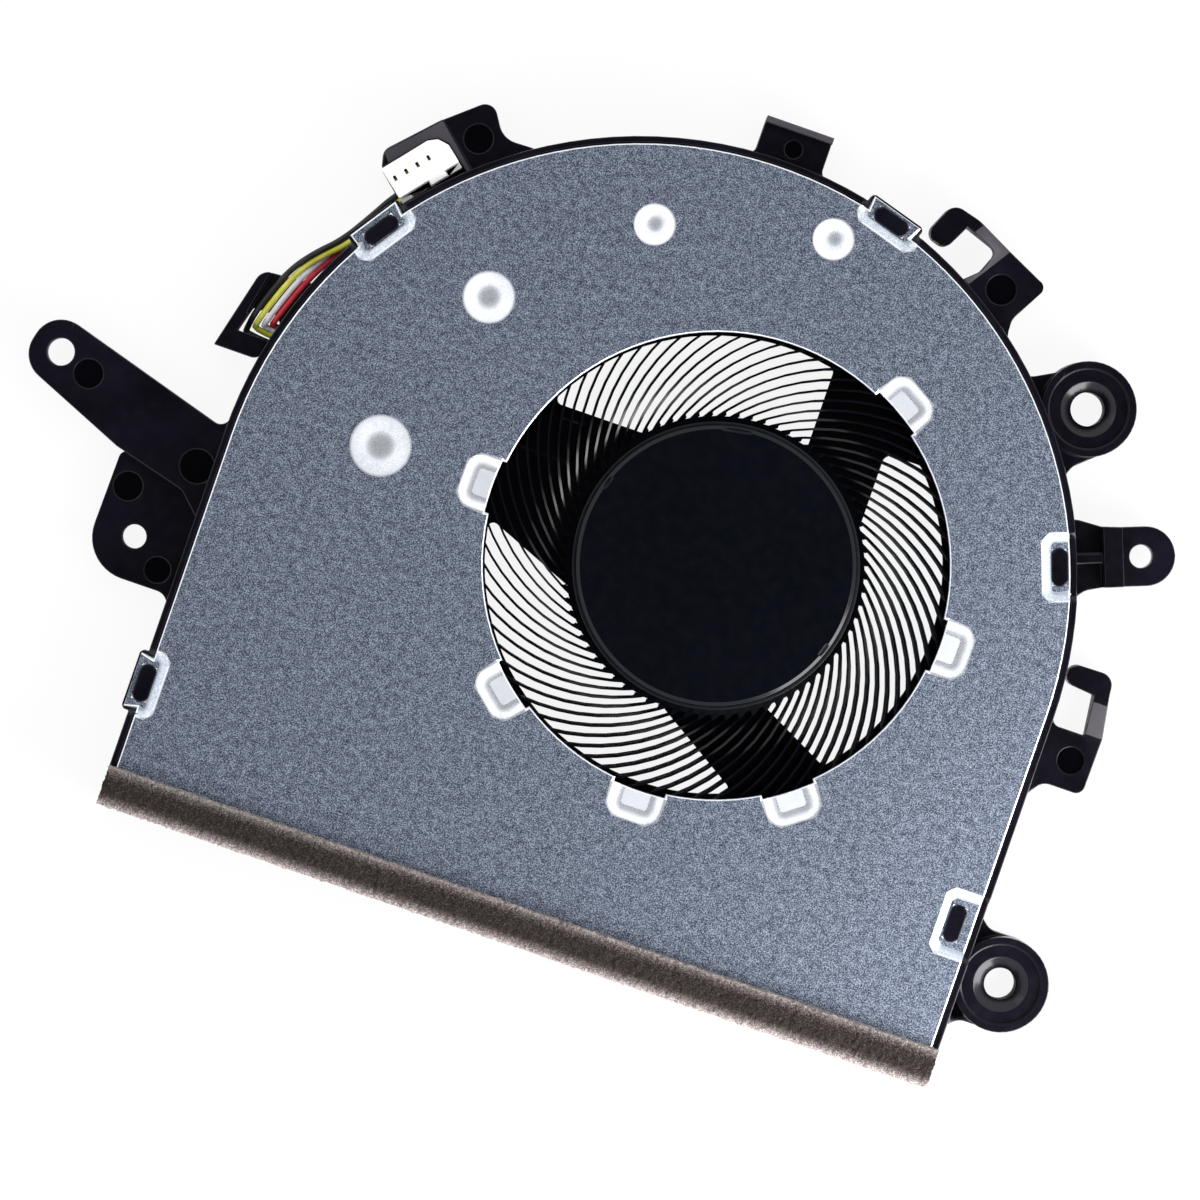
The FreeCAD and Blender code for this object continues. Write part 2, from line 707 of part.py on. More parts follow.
def channel_rib():
    half = CHANNEL_WIDTH / 2 + 0.6
    low, high = WIRE_CHANNEL_Y - half, WIRE_CHANNEL_Y + half
    start, end = wall_x(high, -ROOT), -HUB_FLOOR_RADIUS - 2.4
    return box(start, end, low, high, FLOOR_THICKNESS / 2, WIRE_CHANNEL_DEPTH + WIRE_CHANNEL_ROOF)


def tab_sector(outer, angle_gap, bottom, top):
    """The part of the board pocket that reaches out along the wide strut."""
    sweep = BOARD_TAB_SWEEP - 2 * angle_gap
    wedge = Part.makeCylinder(outer, top - bottom, V(0, 0, bottom), V(0, 0, 1), sweep)
    return turned(wedge, BOARD_TAB_ANGLE + angle_gap)


def motor_seat(body):
    """Cuts the board's pocket and stands the bearing tube's collar in the middle of the floor."""
    body = body.cut(disc(BOARD_POCKET_RADIUS, BOARD_Z, FLOOR_THICKNESS + 1))
    body = body.cut(tab_sector(BOARD_TAB_RADIUS + BOARD_TAB_GAP, 0.0, BOARD_Z, FLOOR_THICKNESS + 1))
    collar = ring(TUBE_RADIUS + COLLAR_WALL, TUBE_RADIUS, FLOOR_THICKNESS / 2, STATOR_Z)
    return body.fuse(collar).cut(disc(TUBE_RADIUS, TUBE_FLOOR, HOUSING_HEIGHT))


def frame():
    body = shell()
    for place, where, depth, has_tab in STAKES:
        body = body.fuse(place(stake_seat(depth, has_tab), where))
    body = body.cut(prism(housing_outline(0, OUTLET_Y), LIP_Z, LIP_Z + 1))
    for place, where, depth, has_tab in STAKES:
        room = pad_room(depth, LEDGE_Z, LEDGE_Z - STAKE_PAD_DEPTH, STAKE_TAB_REACH + 1.0)
        body = body.cut(place(room, where))
        body = body.fuse(place(stake(depth), where))
    lugs = [
        on_left(left_arm(), HOUSING_CENTRE_Y),
        on_left(left_lug(), HOUSING_CENTRE_Y),
        on_wall(wire_hook(), HOOK_ANGLE),
        on_wall(bracket(), BRACKET_ANGLE),
        on_wall(top_ear(), TOP_EAR_ANGLE),
        on_wall(upper_hook(), UPPER_HOOK_ANGLE),
        on_wall(upper_boss(), UPPER_BOSS_ANGLE),
        on_wall(right_ear(), RIGHT_EAR_ANGLE),
        on_right(right_hook(), HOUSING_CENTRE_Y),
        on_right(lower_boss(), LOWER_BOSS_Y),
    ]
    body = body.multiFuse(lugs + [channel_rib()])
    for window in windows():
        body = body.cut(window)
    body = motor_seat(body)
    return body.cut(channel()).removeSplitter()


def cover_pressing(wide, narrow, depth):
    """A pressed-down place as (material below the sheet, room above it)."""
    below = frustum(narrow, LEDGE_Z - depth, wide, LEDGE_Z)
    above = frustum(narrow, HOUSING_HEIGHT - depth, wide, HOUSING_HEIGHT)
    above = above.fuse(plate(wide, HOUSING_HEIGHT, HOUSING_HEIGHT + 1))
    return below, above


def inlet_pad():
    """A pad at the inlet's edge, drawn along +X."""
    inner, outer = INLET_RADIUS - 3.0, INLET_RADIUS + INLET_PAD_REACH
    half, slope = INLET_PAD_WIDTH / 2, INLET_PAD_SLOPE
    wide = open_bay(inner, outer, half, INLET_PAD_CORNER + slope / 2)
    flat = open_bay(inner, outer - slope, half - slope, INLET_PAD_CORNER)
    return cover_pressing(wide, flat, INLET_PAD_DEPTH)


def inlet_hole():
    """The round inlet, let out a little at each pad."""
    hole = disc(INLET_RADIUS, 0, HOUSING_HEIGHT + 2)
    wide = disc(INLET_RADIUS + INLET_PAD_BULGE, 0, HOUSING_HEIGHT + 2)
    half = INLET_PAD_WIDTH / 2
    bay = box(HUB_RADIUS, INLET_RADIUS + 2, -half, half, 0, HOUSING_HEIGHT + 2)
    for angle in INLET_PAD_ANGLES:
        hole = hole.fuse(wide.common(turned(bay, angle)))
    return hole


def dimple(radius):
    """A shallow dish pressed down into the sheet, as (material below, room above)."""
    dish = Part.makeCone(radius * DIMPLE_FLAT, radius, DIMPLE_DEPTH, V(0, 0, -DIMPLE_DEPTH))
    return dish.translated(V(0, 0, LEDGE_Z)), dish.translated(V(0, 0, HOUSING_HEIGHT))


def dimples():
    found = []
    for i, radius in enumerate(DIMPLE_RADII):
        angle = math.radians(DIMPLE_FIRST_ANGLE + DIMPLE_PITCH * i)
        reach = IMPELLER_RADIUS + DIMPLE_GAP + radius
        place = V(reach * math.cos(angle), reach * math.sin(angle), 0)
        found.append([part.translated(place) for part in dimple(radius)])
    return found


def top_cover():
    sheet_outline = housing_outline(COVER_INSET, OUTLET_Y)
    sheet = prism(sheet_outline, LEDGE_Z, HOUSING_HEIGHT)
    pressings = [[turned(part, a) for part in inlet_pad()] for a in INLET_PAD_ANGLES] + dimples()
    low = LEDGE_Z - STAKE_PAD_DEPTH
    inside = prism(sheet_outline, low - 1, HOUSING_HEIGHT)
    holes = [inlet_hole()]
    tabs = []
    for place, where, depth, has_tab in STAKES:
        below = pad_room(depth, LEDGE_Z, low, 3.0).common(box(-20, 20, -20, 20, low, LEDGE_Z))
        above = pad_room(depth, HOUSING_HEIGHT, HOUSING_HEIGHT - STAKE_PAD_DEPTH, 3.0)
        pressings.append([inside.common(place(below, where)), place(above, where)])
        a, b = STAKE_POST_LENGTH / 2 + STAKE_GAP, STAKE_POST_WIDTH / 2 + STAKE_GAP
        holes.append(place(box(-a, a, -depth - b, -depth + b, 0, HOUSING_HEIGHT + 2), where))
        if has_tab:
            half = STAKE_PAD_LENGTH / 2
            back = -COVER_INSET - 0.2
            tab = box(-half, half, back, STAKE_TAB_REACH, low, HOUSING_HEIGHT - STAKE_PAD_DEPTH)
            tabs.append(place(tab, where))
    sheet = sheet.multiFuse([below for below, above in pressings])
    sheet = sheet.cut(Part.makeCompound([above for below, above in pressings]))
    if tabs:
        sheet = sheet.multiFuse(tabs)
    for hole in holes:
        sheet = sheet.cut(hole)
    return sheet.removeSplitter()


def outlet_foam():
    low = OUTLET_Y - FOAM_OVERHANG
    return box(LEFT_X, RIGHT_X, low, low + FOAM_WIDTH, HOUSING_HEIGHT, HOUSING_HEIGHT + FOAM_THICKNESS)


def blade_arc():
    """The radius of a blade's arc, and how far its centre lies from the rotor's axis."""
    root = math.cos(math.radians(BLADE_ROOT_ANGLE))
    tip = math.cos(math.radians(BLADE_TIP_ANGLE))
    radius = (IMPELLER_RADIUS**2 - HUB_RADIUS**2) / (2 * (IMPELLER_RADIUS * tip - HUB_RADIUS * root))
    return radius, math.sqrt(radius**2 + HUB_RADIUS**2 - 2 * radius * HUB_RADIUS * root)


def blade_point(radius, side):
    """A point of the blade at a radius from the rotor's axis, with side -1 or 1 for its two faces."""
    arc, offset = blade_arc()
    arc += side * BLADE_THICKNESS / 2
    cosine = (radius**2 + offset**2 - arc**2) / (2 * radius * offset)
    angle = math.radians(BLADE_PHASE) + math.acos(cosine)
    return (radius * math.cos(angle), radius * math.sin(angle), 0)


def blade():
    """One blade: a thin wall along its arc, whose top falls away over the first chord from the root."""
    full, chords = BLADE_FULL_RADIUS, BLADE_CHORDS - 1
    steps = [(HUB_RADIUS + ROOT_RING_RADIUS) / 2]
    steps += [full + (IMPELLER_RADIUS - full) * i / chords for i in range(chords + 1)]
    near = [blade_point(r, -1) for r in steps]
    far = [blade_point(r, 1) for r in steps]
    wall = plate(near + far[::-1], BLADE_BOTTOM, BLADE_TOP)
    low = ROOT_RING_TOP - ROOT_RING_STEP
    run = (full - ROOT_RING_RADIUS) / (BLADE_TOP - low)
    above = [(0, low), (ROOT_RING_RADIUS, low), (full + run, BLADE_TOP + 1), (0, BLADE_TOP + 1), (0, low)]
    slope = Part.Face(Part.makePolygon([V(x, -HUB_RADIUS, z) for x, z in above]))
    wedge = slope.extrude(V(0, 2 * HUB_RADIUS, 0))
    foot, shoulder = near[0], near[1]
    middle = math.atan2(foot[1] + shoulder[1], foot[0] + shoulder[0])
    return wall.cut(turned(wedge, math.degrees(middle)))


def impeller():
    hub = spun(
        [
            (0, YOKE_TOP),
            (HUB_INNER_RADIUS, YOKE_TOP),
            (HUB_INNER_RADIUS, BLADE_BOTTOM),
            (ROOT_RING_RADIUS, BLADE_BOTTOM),
            (ROOT_RING_RADIUS, ROOT_RING_TOP),
            (HUB_RADIUS, ROOT_RING_TOP),
            (HUB_RADIUS, HUB_TOP - HUB_CHAMFER),
            (HUB_RADIUS - HUB_CHAMFER, HUB_TOP),
            (0, HUB_TOP),
        ]
    )
    boss_radius = SHAFT_RADIUS + SHAFT_BOSS_WALL
    boss = disc(boss_radius, SHAFT_TOP - SHAFT_SEAT_DEPTH, YOKE_TOP)
    rim = IMPELLER_RADIUS + TIP_RING_OVERLAP
    hoop = ring(rim, rim - TIP_RING_WIDTH, BLADE_BOTTOM, BLADE_BOTTOM + TIP_RING_HEIGHT)
    first = blade()
    blades = [turned(first, 360.0 / BLADE_COUNT * i) for i in range(BLADE_COUNT)]
    whole = hub.fuse(boss).multiFuse(blades + [hoop])
    return whole.cut(disc(SHAFT_RADIUS, 0, SHAFT_TOP)).removeSplitter()


def rotor_yoke():
    cup = disc(YOKE_RADIUS, BLADE_BOTTOM + 0.1, YOKE_TOP)
    room = disc(YOKE_RADIUS - YOKE_THICKNESS, 0, YOKE_TOP - YOKE_THICKNESS)
    hole = disc(SHAFT_RADIUS + SHAFT_BOSS_WALL + FIT_GAP, 0, HUB_TOP)
    return cup.cut(room).cut(hole)


def ring_magnet():
    top = YOKE_TOP - YOKE_THICKNESS - FIT_GAP
    return ring(MAGNET_RADIUS, MAGNET_RADIUS - MAGNET_THICKNESS, top - MAGNET_HEIGHT, top)


def ring_groove_z():
    """The middle of the shaft's groove, half-way between the thrust plate and the bearing."""
    return (TUBE_FLOOR + THRUST_PLATE_THICKNESS + BEARING_BOTTOM) / 2


def shaft():
    tip = SHAFT_RADIUS * 0.35
    groove, half = ring_groove_z(), RETAINING_RING_THICKNESS / 2 + 0.02
    waist = SHAFT_RADIUS - SHAFT_GROOVE_DEPTH
    return spun(
        [
            (0, SHAFT_BOTTOM),
            (SHAFT_RADIUS - tip, SHAFT_BOTTOM),
            (SHAFT_RADIUS, SHAFT_BOTTOM + tip * 0.3),
            (SHAFT_RADIUS, groove - half),
            (waist, groove - half),
            (waist, groove + half),
            (SHAFT_RADIUS, groove + half),
            (SHAFT_RADIUS, SHAFT_TOP),
            (0, SHAFT_TOP),
        ]
    )


def retaining_ring():
    groove, half = ring_groove_z(), RETAINING_RING_THICKNESS / 2
    inner = SHAFT_RADIUS - SHAFT_GROOVE_DEPTH + 0.02
    washer = ring(RETAINING_RING_RADIUS, inner, groove - half, groove + half)
    split = box(0, RETAINING_RING_RADIUS + 1, -0.2, 0.2, 0, HOUSING_HEIGHT)
    return washer.cut(split)


def bearing_tube():
    return ring(TUBE_RADIUS, TUBE_BORE, TUBE_FLOOR, BEARING_TOP + OIL_SEAL_THICKNESS + FIT_GAP)


def sleeve_bearing():
    return ring(BEARING_RADIUS, BEARING_BORE, BEARING_BOTTOM, BEARING_TOP)


def thrust_plate():
    return disc(BEARING_RADIUS, TUBE_FLOOR, TUBE_FLOOR + THRUST_PLATE_THICKNESS)


def oil_seal():
    return ring(BEARING_RADIUS, SHAFT_RADIUS + 0.1, BEARING_TOP, BEARING_TOP + OIL_SEAL_THICKNESS)


def star(bottom, top, radius, shoe_depth, tooth_width):
    """The laminated star: a hub ring, teeth and the curved shoes at their ends."""
    hub = disc(TUBE_RADIUS + FIT_GAP + CORE_HUB_WALL, bottom, top)
    half = tooth_width / 2
    teeth = [turned(box(0, radius - shoe_depth / 2, -half, half, bottom, top), 360 / TOOTH_COUNT * i)
             for i in range(TOOTH_COUNT)]
    shoes = ring(radius, radius - shoe_depth, bottom, top)
    gap = box(0, radius + 1, -SHOE_SLOT / 2, SHOE_SLOT / 2, bottom, top)
    gaps = [between_teeth(gap, i) for i in range(TOOTH_COUNT)]
    shoes = shoes.cut(Part.makeCompound(gaps))
    whole = hub.multiFuse(teeth + [shoes]).removeSplitter()
    return whole.cut(disc(TUBE_RADIUS + FIT_GAP, bottom, top))


def stator_core():
    return star(CORE_Z, CORE_Z + CORE_THICKNESS, STATOR_RADIUS, SHOE_DEPTH, TOOTH_WIDTH)


def insulator(bottom):
    """An end cap of the core: a ring with an arm and an end flange on each tooth."""
    top = bottom + INSULATOR_THICKNESS
    half, reach = TOOTH_WIDTH / 2, STATOR_RADIUS - SHOE_DEPTH
    arm = box(TUBE_RADIUS + FIT_GAP + 0.5, reach, -half, half, bottom, top)
    flange = box(reach - COIL_GAP / 2, reach + SHOE_DEPTH / 2, -TOOTH_WIDTH, TOOTH_WIDTH, bottom, top)
    arms = [turned(arm.fuse(flange), 360 / TOOTH_COUNT * i) for i in range(TOOTH_COUNT)]
    hub = Part.Wire(Part.makePolygon(hexagon(TUBE_RADIUS + FIT_GAP + CORE_HUB_WALL)))
    return fused([prism(hub, bottom, top)] + arms).cut(disc(TUBE_RADIUS + FIT_GAP, bottom, top))


def hexagon(radius):
    turns = [2 * math.pi * (i + 0.5) / TOOTH_COUNT for i in range(TOOTH_COUNT + 1)]
    return [V(radius * math.cos(a), radius * math.sin(a), 0) for a in turns]


def coil(index):
    """One winding: a flat oval tube round its tooth."""
    near = TUBE_RADIUS + FIT_GAP + CORE_HUB_WALL + COIL_GAP
    far = STATOR_RADIUS - SHOE_DEPTH - COIL_GAP
    half, t = TOOTH_WIDTH / 2 + FIT_GAP, COIL_THICKNESS
    low, high = STATOR_Z - FIT_GAP, STATOR_TOP + FIT_GAP
    outer = box(near, far, -half - t, half + t, low - t, high + t)
    along_x = [e for e in outer.Edges if e.BoundBox.XLength > (far - near) * 0.9]
    outer = outer.makeChamfer(t * 0.6, along_x)
    return turned(outer.cut(box(near - 1, far + 1, -half, half, low, high)), 360 / TOOTH_COUNT * index)


def driver_board():
    board = disc(BOARD_RADIUS, BOARD_Z, BOARD_TOP)
    tab = tab_sector(BOARD_TAB_RADIUS, 1.0, BOARD_Z, BOARD_TOP)
    hole = disc(TUBE_RADIUS + COLLAR_WALL + 0.1, 0, HOUSING_HEIGHT)
    return board.fuse(tab).cut(hole).removeSplitter()


def between_teeth(shape, index):
    return turned(shape, 360 / TOOTH_COUNT * (index + 0.5))


def driver_chip():
    far, half = BOARD_RADIUS - CHIP_INSET, CHIP_SIZE / 2
    return between_teeth(box(far - CHIP_SIZE, far, -half, half, BOARD_TOP, BOARD_TOP + CHIP_HEIGHT), 0)


def board_capacitors():
    far, half = BOARD_RADIUS - CAPACITOR_INSET, CAPACITOR_WIDTH / 2
    part = box(far - CAPACITOR_LENGTH, far, -half, half, BOARD_TOP, BOARD_TOP + CAPACITOR_HEIGHT)
    places = ((3, -CAPACITOR_SPREAD), (3, CAPACITOR_SPREAD), (4, 0.0))
    return Part.makeCompound([between_teeth(part.translated(V(0, y, 0)), i) for i, y in places])


def lead_y(name):
    """Where a lead lies across the channel."""
    return WIRE_CHANNEL_Y + WIRE_PITCH * ((len(WIRE_NAMES) - 1) / 2 - WIRE_NAMES.index(name))


LEAD_START_X = -HUB_INNER_RADIUS + 0.5
LEAD_Z = BOARD_Z - WIRE_RADIUS - 0.02


def solder_joints():
    half = WIRE_RADIUS * 0.8
    x = LEAD_START_X + half
    joint = box(x - half, x + half, -half, half, WIRE_RADIUS / 2, BOARD_Z)
    return Part.makeCompound([joint.translated(V(0, lead_y(name), 0)) for name in WIRE_NAMES])


# Each lead's way round the wall, chosen by eye: how far out of the wall it leaves the channel, then
# points as (angle on the round wall, distance outside it, height)
LEAD_ROUTES = {
    "red": (0.7, [(164.3, 0.7, 2.4), (157.3, 0.62, 2.42), (154.0, 0.45, 1.4), (150.6, 0.37, 1.0),
                  (145.9, 0.37, 1.0)]),
    "white": (1.35, [(164.5, 1.35, 2.4), (157.9, 1.29, 2.35), (154.5, 0.95, 1.75), (150.6, 1.02, 1.0),
                     (145.9, 1.02, 1.0)]),
    "yellow": (1.95, [(164.9, 2.06, 2.3), (158.2, 1.95, 2.35), (154.5, 1.42, 2.38), (150.6, 0.37, 1.75),
                      (145.9, 0.37, 1.75)]),
    "black": (2.5, [(166.0, 2.65, 1.2), (164.3, 2.7, 2.4), (158.4, 2.62, 2.4), (154.5, 1.95, 2.75),
                    (150.6, 1.02, 1.75), (145.9, 1.02, 1.75)]),
}
# The leads in the order of their contacts. They lie two by two under the connector, and those on top
# end first
LANE_ORDER = ("yellow", "black", "red", "white")
LANE_START = -0.6
LANE_FIRST_Y = 0.5
LANE_Z = BRACKET_BASE + WIRE_RADIUS + 0.03


def by_connector(x, y, z):
    """A point in the connector's own frame, as a place on the whole fan."""
    return on_wall(in_connector(Part.Vertex(x, y, z)), BRACKET_ANGLE).Point


def lead_points(name):
    y = lead_y(name)
    out, on_the_wall = LEAD_ROUTES[name]
    lane = LANE_ORDER.index(name)
    lane_y = LANE_FIRST_Y + WIRE_PITCH * (lane % 2)
    lane_z = LANE_Z + (WIRE_PITCH if lane < 2 else 0.0)
    end_x = contact_rows()[lane]
    points = [V(LEAD_START_X, y, LEAD_Z), V(wall_x(y, out), y, LEAD_Z)]
    points += [by_wall(*point) for point in on_the_wall]
    for x, z in ((LANE_START, lane_z), (end_x, lane_z), (end_x, CONNECTOR_BOTTOM + SOCKET_DEPTH)):
        points.append(by_connector(x, lane_y, z))
    return points


def lead_path(points):
    """Straight runs joined by bends, each as a few chords of its arc, and the radii of those arcs."""
    path, radii = [points[0]], []
    for a, b, c in zip(points, points[1:], points[2:]):
        back, on = (a - b), (c - b)
        reach = LEAD_BEND_SHARE * min(back.Length, on.Length)
        back.normalize()
        on.normalize()
        half = back.getAngle(on) / 2
        radius = reach * math.tan(half)
        radii.append(radius)
        middle = back + on
        middle.normalize()
        top = b + middle * (radius / math.sin(half) - radius)
        chords = math.ceil((180 - 2 * math.degrees(half)) / LEAD_CHORD_ANGLE)
        path += Part.Arc(b + back * reach, top, b + on * reach).toShape().discretize(chords + 1)
    return Part.makePolygon(path + points[-1:]), radii


def lead(name):
    """A lead with a six-sided section, which starts square to the X axis."""
    points = lead_points(name)
    path, radii = lead_path(points)
    turns = [2 * math.pi * (i + 0.5) / WIRE_SIDES for i in range(WIRE_SIDES + 1)]
    rim = [points[0] + V(0, WIRE_RADIUS * math.cos(a), WIRE_RADIUS * math.sin(a)) for a in turns]
    tube = path.makePipeShell([Part.makePolygon(rim)], True, True, 1)
    section = WIRE_RADIUS**2 * WIRE_SIDES / 2 * math.sin(2 * math.pi / WIRE_SIDES)
    share = tube.Volume / (section * path.Length)
    print(f"{name} lead: length {path.Length:.1f}, volume share {share:.3f},",
          "arc radii", " ".join(f"{r:.1f}" for r in radii))
    return tube


def contact_rows():
    """How far along the connector each contact is."""
    return [CONTACT_START + CONTACT_PITCH * i for i in range(CONTACT_COUNT)]


def connector_housing():
    """The white housing: windows over the contacts, a ledge with a notch and a lug beside the wall."""
    top = CONNECTOR_BOTTOM + CONNECTOR_HEIGHT
    a, b, ledge = CONTACT_SLOT_WIDTH / 2, CONTACT_SLOT_LENGTH / 2, CONNECTOR_LEDGE_WIDTH
    floor = CONNECTOR_BOTTOM + SOCKET_DEPTH
    cuts = [box(x - a, x + a, CONTACT_Y - b, CONTACT_Y + b, floor + 0.4, top + 1) for x in contact_rows()]
    half = WIRE_RADIUS + SOCKET_GAP
    for lane, x in enumerate(contact_rows()):
        y = LANE_FIRST_Y + WIRE_PITCH * (lane % 2)
        cuts.append(box(x - half, x + half, y - half, y + half, 0, floor))
    cuts.append(box(-1, CONNECTOR_LENGTH + 1, -1, ledge, top - CONNECTOR_LEDGE_DEPTH, top + 1))
    cuts.append(box(1.2, 2.5, -1, ledge - 0.15, floor + 0.3, top))
    body = connector_block(0.0, CONNECTOR_BOTTOM, top).cut(in_connector(Part.makeCompound(cuts)))
    lug = box(3.3, 5.1, 0.05, ledge + 0.2, top - CONNECTOR_LEDGE_DEPTH - 0.2, top - 0.15)
    return on_wall(body.fuse(in_connector(lug)), BRACKET_ANGLE)


def connector_contacts():
    """The metal seen in the windows: a strip down the middle of each, a little under the top."""
    low, high = CONNECTOR_BOTTOM + SOCKET_DEPTH + 0.4, CONNECTOR_BOTTOM + CONNECTOR_HEIGHT - 0.4
    half, y = CONTACT_SLOT_WIDTH / 4, CONTACT_Y
    contacts = [box(x - half, x + half, y - CONTACT_SLOT_LENGTH / 2, y, low, high) for x in contact_rows()]
    return on_wall(in_connector(Part.makeCompound(contacts)), BRACKET_ANGLE)


def pieces():
    made = {
        "frame": frame(),
        "top_cover": top_cover(),
        "outlet_foam": outlet_foam(),
        "impeller": impeller(),
        "rotor_yoke": rotor_yoke(),
        "ring_magnet": ring_magnet(),
        "shaft": shaft(),
        "retaining_ring": retaining_ring(),
        "bearing_tube": bearing_tube(),
        "sleeve_bearing": sleeve_bearing(),
        "thrust_plate": thrust_plate(),
        "oil_seal": oil_seal(),
        "stator_core": stator_core(),
        "insulator_lower": insulator(STATOR_Z),
        "insulator_upper": insulator(STATOR_TOP - INSULATOR_THICKNESS),
        "driver_board": driver_board(),
        "driver_chip": driver_chip(),
        "board_capacitors": board_capacitors(),
        "solder_joints": solder_joints(),
        "connector_housing": connector_housing(),
        "connector_contacts": connector_contacts(),
    }
    for i in range(TOOTH_COUNT):
        made[f"coil_{i + 1}"] = coil(i)
    for name in WIRE_NAMES:
        made[f"wire_{name}"] = lead(name)
    return made


os.makedirs("parts", exist_ok=True)
for node, shape in pieces().items():
    shape.exportStep(f"parts/{node}.step")
    print(f"{node}: {len(shape.Solids)} solid(s), {shape.Volume:.2f} mm3, valid {shape.isValid()}")
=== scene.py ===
import math

import bmesh
import bpy
from mathutils import Matrix, Vector


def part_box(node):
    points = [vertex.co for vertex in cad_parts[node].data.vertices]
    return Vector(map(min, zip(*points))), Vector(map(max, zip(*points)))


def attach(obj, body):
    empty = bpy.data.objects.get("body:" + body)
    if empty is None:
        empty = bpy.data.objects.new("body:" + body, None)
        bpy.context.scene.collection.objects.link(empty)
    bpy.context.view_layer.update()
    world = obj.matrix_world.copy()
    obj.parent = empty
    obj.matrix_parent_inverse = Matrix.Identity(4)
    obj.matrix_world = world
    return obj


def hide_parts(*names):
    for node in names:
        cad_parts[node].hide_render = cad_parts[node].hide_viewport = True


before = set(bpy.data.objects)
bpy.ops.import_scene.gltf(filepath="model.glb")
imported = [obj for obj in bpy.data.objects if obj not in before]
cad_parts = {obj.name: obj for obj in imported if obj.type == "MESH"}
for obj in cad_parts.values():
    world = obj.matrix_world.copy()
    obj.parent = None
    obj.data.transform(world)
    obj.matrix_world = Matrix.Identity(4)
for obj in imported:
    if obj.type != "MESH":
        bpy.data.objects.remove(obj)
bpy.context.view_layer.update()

MM = 0.001

# Camera. It looks down on the cover, turned so that the outlet edge falls to the right, and leans
# a touch towards the connector. The view is this many millimetres wide at the height of the cover.
VIEW_WIDTH = 115.4
VIEW_ROLL = math.radians(19.1)
VIEW_LEAN = math.radians(2.0)
VIEW_LEAN_TOWARDS = math.radians(154)
LOOK_AT = (-9.54, -6.76, 6.0)
CAMERA_DISTANCE = 500
CAMERA_SENSOR = 36
CAMERA_SEES_FROM = 10
lean = Vector((math.cos(VIEW_LEAN_TOWARDS), math.sin(VIEW_LEAN_TOWARDS), 0)) * math.sin(VIEW_LEAN)
towards_camera = lean + Vector((0, 0, math.cos(VIEW_LEAN)))
photo_up = Vector((-math.sin(VIEW_ROLL), math.cos(VIEW_ROLL), 0))
photo_right = photo_up.cross(towards_camera).normalized()
up = towards_camera.cross(photo_right)
turn = Matrix((photo_right, up, towards_camera)).transposed().to_4x4()
stands_at = Vector(LOOK_AT) * MM + towards_camera * CAMERA_DISTANCE * MM
lens = bpy.data.cameras.new("camera")
lens.sensor_width = CAMERA_SENSOR
lens.lens = CAMERA_SENSOR * CAMERA_DISTANCE / VIEW_WIDTH
lens.clip_start = CAMERA_SEES_FROM * MM
camera = bpy.data.objects.new("camera", lens)
camera.matrix_world = Matrix.Translation(stands_at) @ turn
bpy.context.scene.collection.objects.link(camera)
bpy.context.scene.camera = camera
bpy.context.scene.view_settings.view_transform = "Standard"


# Light. A white tent stands round the fan, open at the top where the camera is: what lies flat
# reflects the opening, and what slopes reflects the tent. The camera itself sees plain white.
def ramp(tree, value, stops, fade="LINEAR"):
    """Colours by value: stops are (place, colour) pairs."""
    made = tree.nodes.new("ShaderNodeValToRGB")
    made.color_ramp.interpolation = fade
    ends = made.color_ramp.elements
    ends[0].position, ends[1].position = stops[0][0], stops[-1][0]
    ends[0].color, ends[1].color = (*stops[0][1], 1), (*stops[-1][1], 1)
    for place, colour in stops[1:-1]:
        made.color_ramp.elements.new(place).color = (*colour, 1)
    tree.links.new(value, made.inputs["Fac"])
    return made.outputs["Color"]


def shown_to_camera(tree, real, shown, share=1.0):
    """The real shader, in place of which the camera alone sees this share of the shown one."""
    seen = tree.nodes.new("ShaderNodeLightPath")
    part = tree.nodes.new("ShaderNodeMath")
    part.operation = "MULTIPLY"
    part.inputs[1].default_value = share
    mix = tree.nodes.new("ShaderNodeMixShader")
    tree.links.new(seen.outputs["Is Camera Ray"], part.inputs[0])
    tree.links.new(part.outputs[0], mix.inputs["Fac"])
    tree.links.new(real, mix.inputs[1])
    tree.links.new(shown, mix.inputs[2])
    return mix.outputs[0]


FLOOR_LINE = (0.4, 0.4, 0.4)
TENT_CLOTH = (1.25, 1.25, 1.275)
OPENING_EDGE = (0.04, 0.04, 0.0408)
OPENING = (0.04, 0.04, 0.0416)
# The light from each height, given by the sine of its angle above the floor.
TENT = (
    (0.1, FLOOR_LINE), (0.3, TENT_CLOTH), (0.89, TENT_CLOTH), (0.955, OPENING_EDGE), (1.0, OPENING),
)
world = bpy.data.worlds.new("tent")
bpy.context.scene.world = world
world.use_nodes = True
sky = world.node_tree
sky.nodes.clear()
direction = sky.nodes.new("ShaderNodeTexCoord")
split = sky.nodes.new("ShaderNodeSeparateXYZ")
tent = sky.nodes.new("ShaderNodeBackground")
backdrop = sky.nodes.new("ShaderNodeBackground")
backdrop.inputs["Color"].default_value = (1, 1, 1, 1)
horizon = sky.nodes.new("ShaderNodeOutputWorld")
sky.links.new(direction.outputs["Generated"], split.inputs[0])
sky.links.new(ramp(sky, split.outputs["Z"], TENT, "EASE"), tent.inputs["Color"])
sky.links.new(shown_to_camera(sky, tent.outputs[0], backdrop.outputs[0]), horizon.inputs["Surface"])

LAMP_SIZE = 110
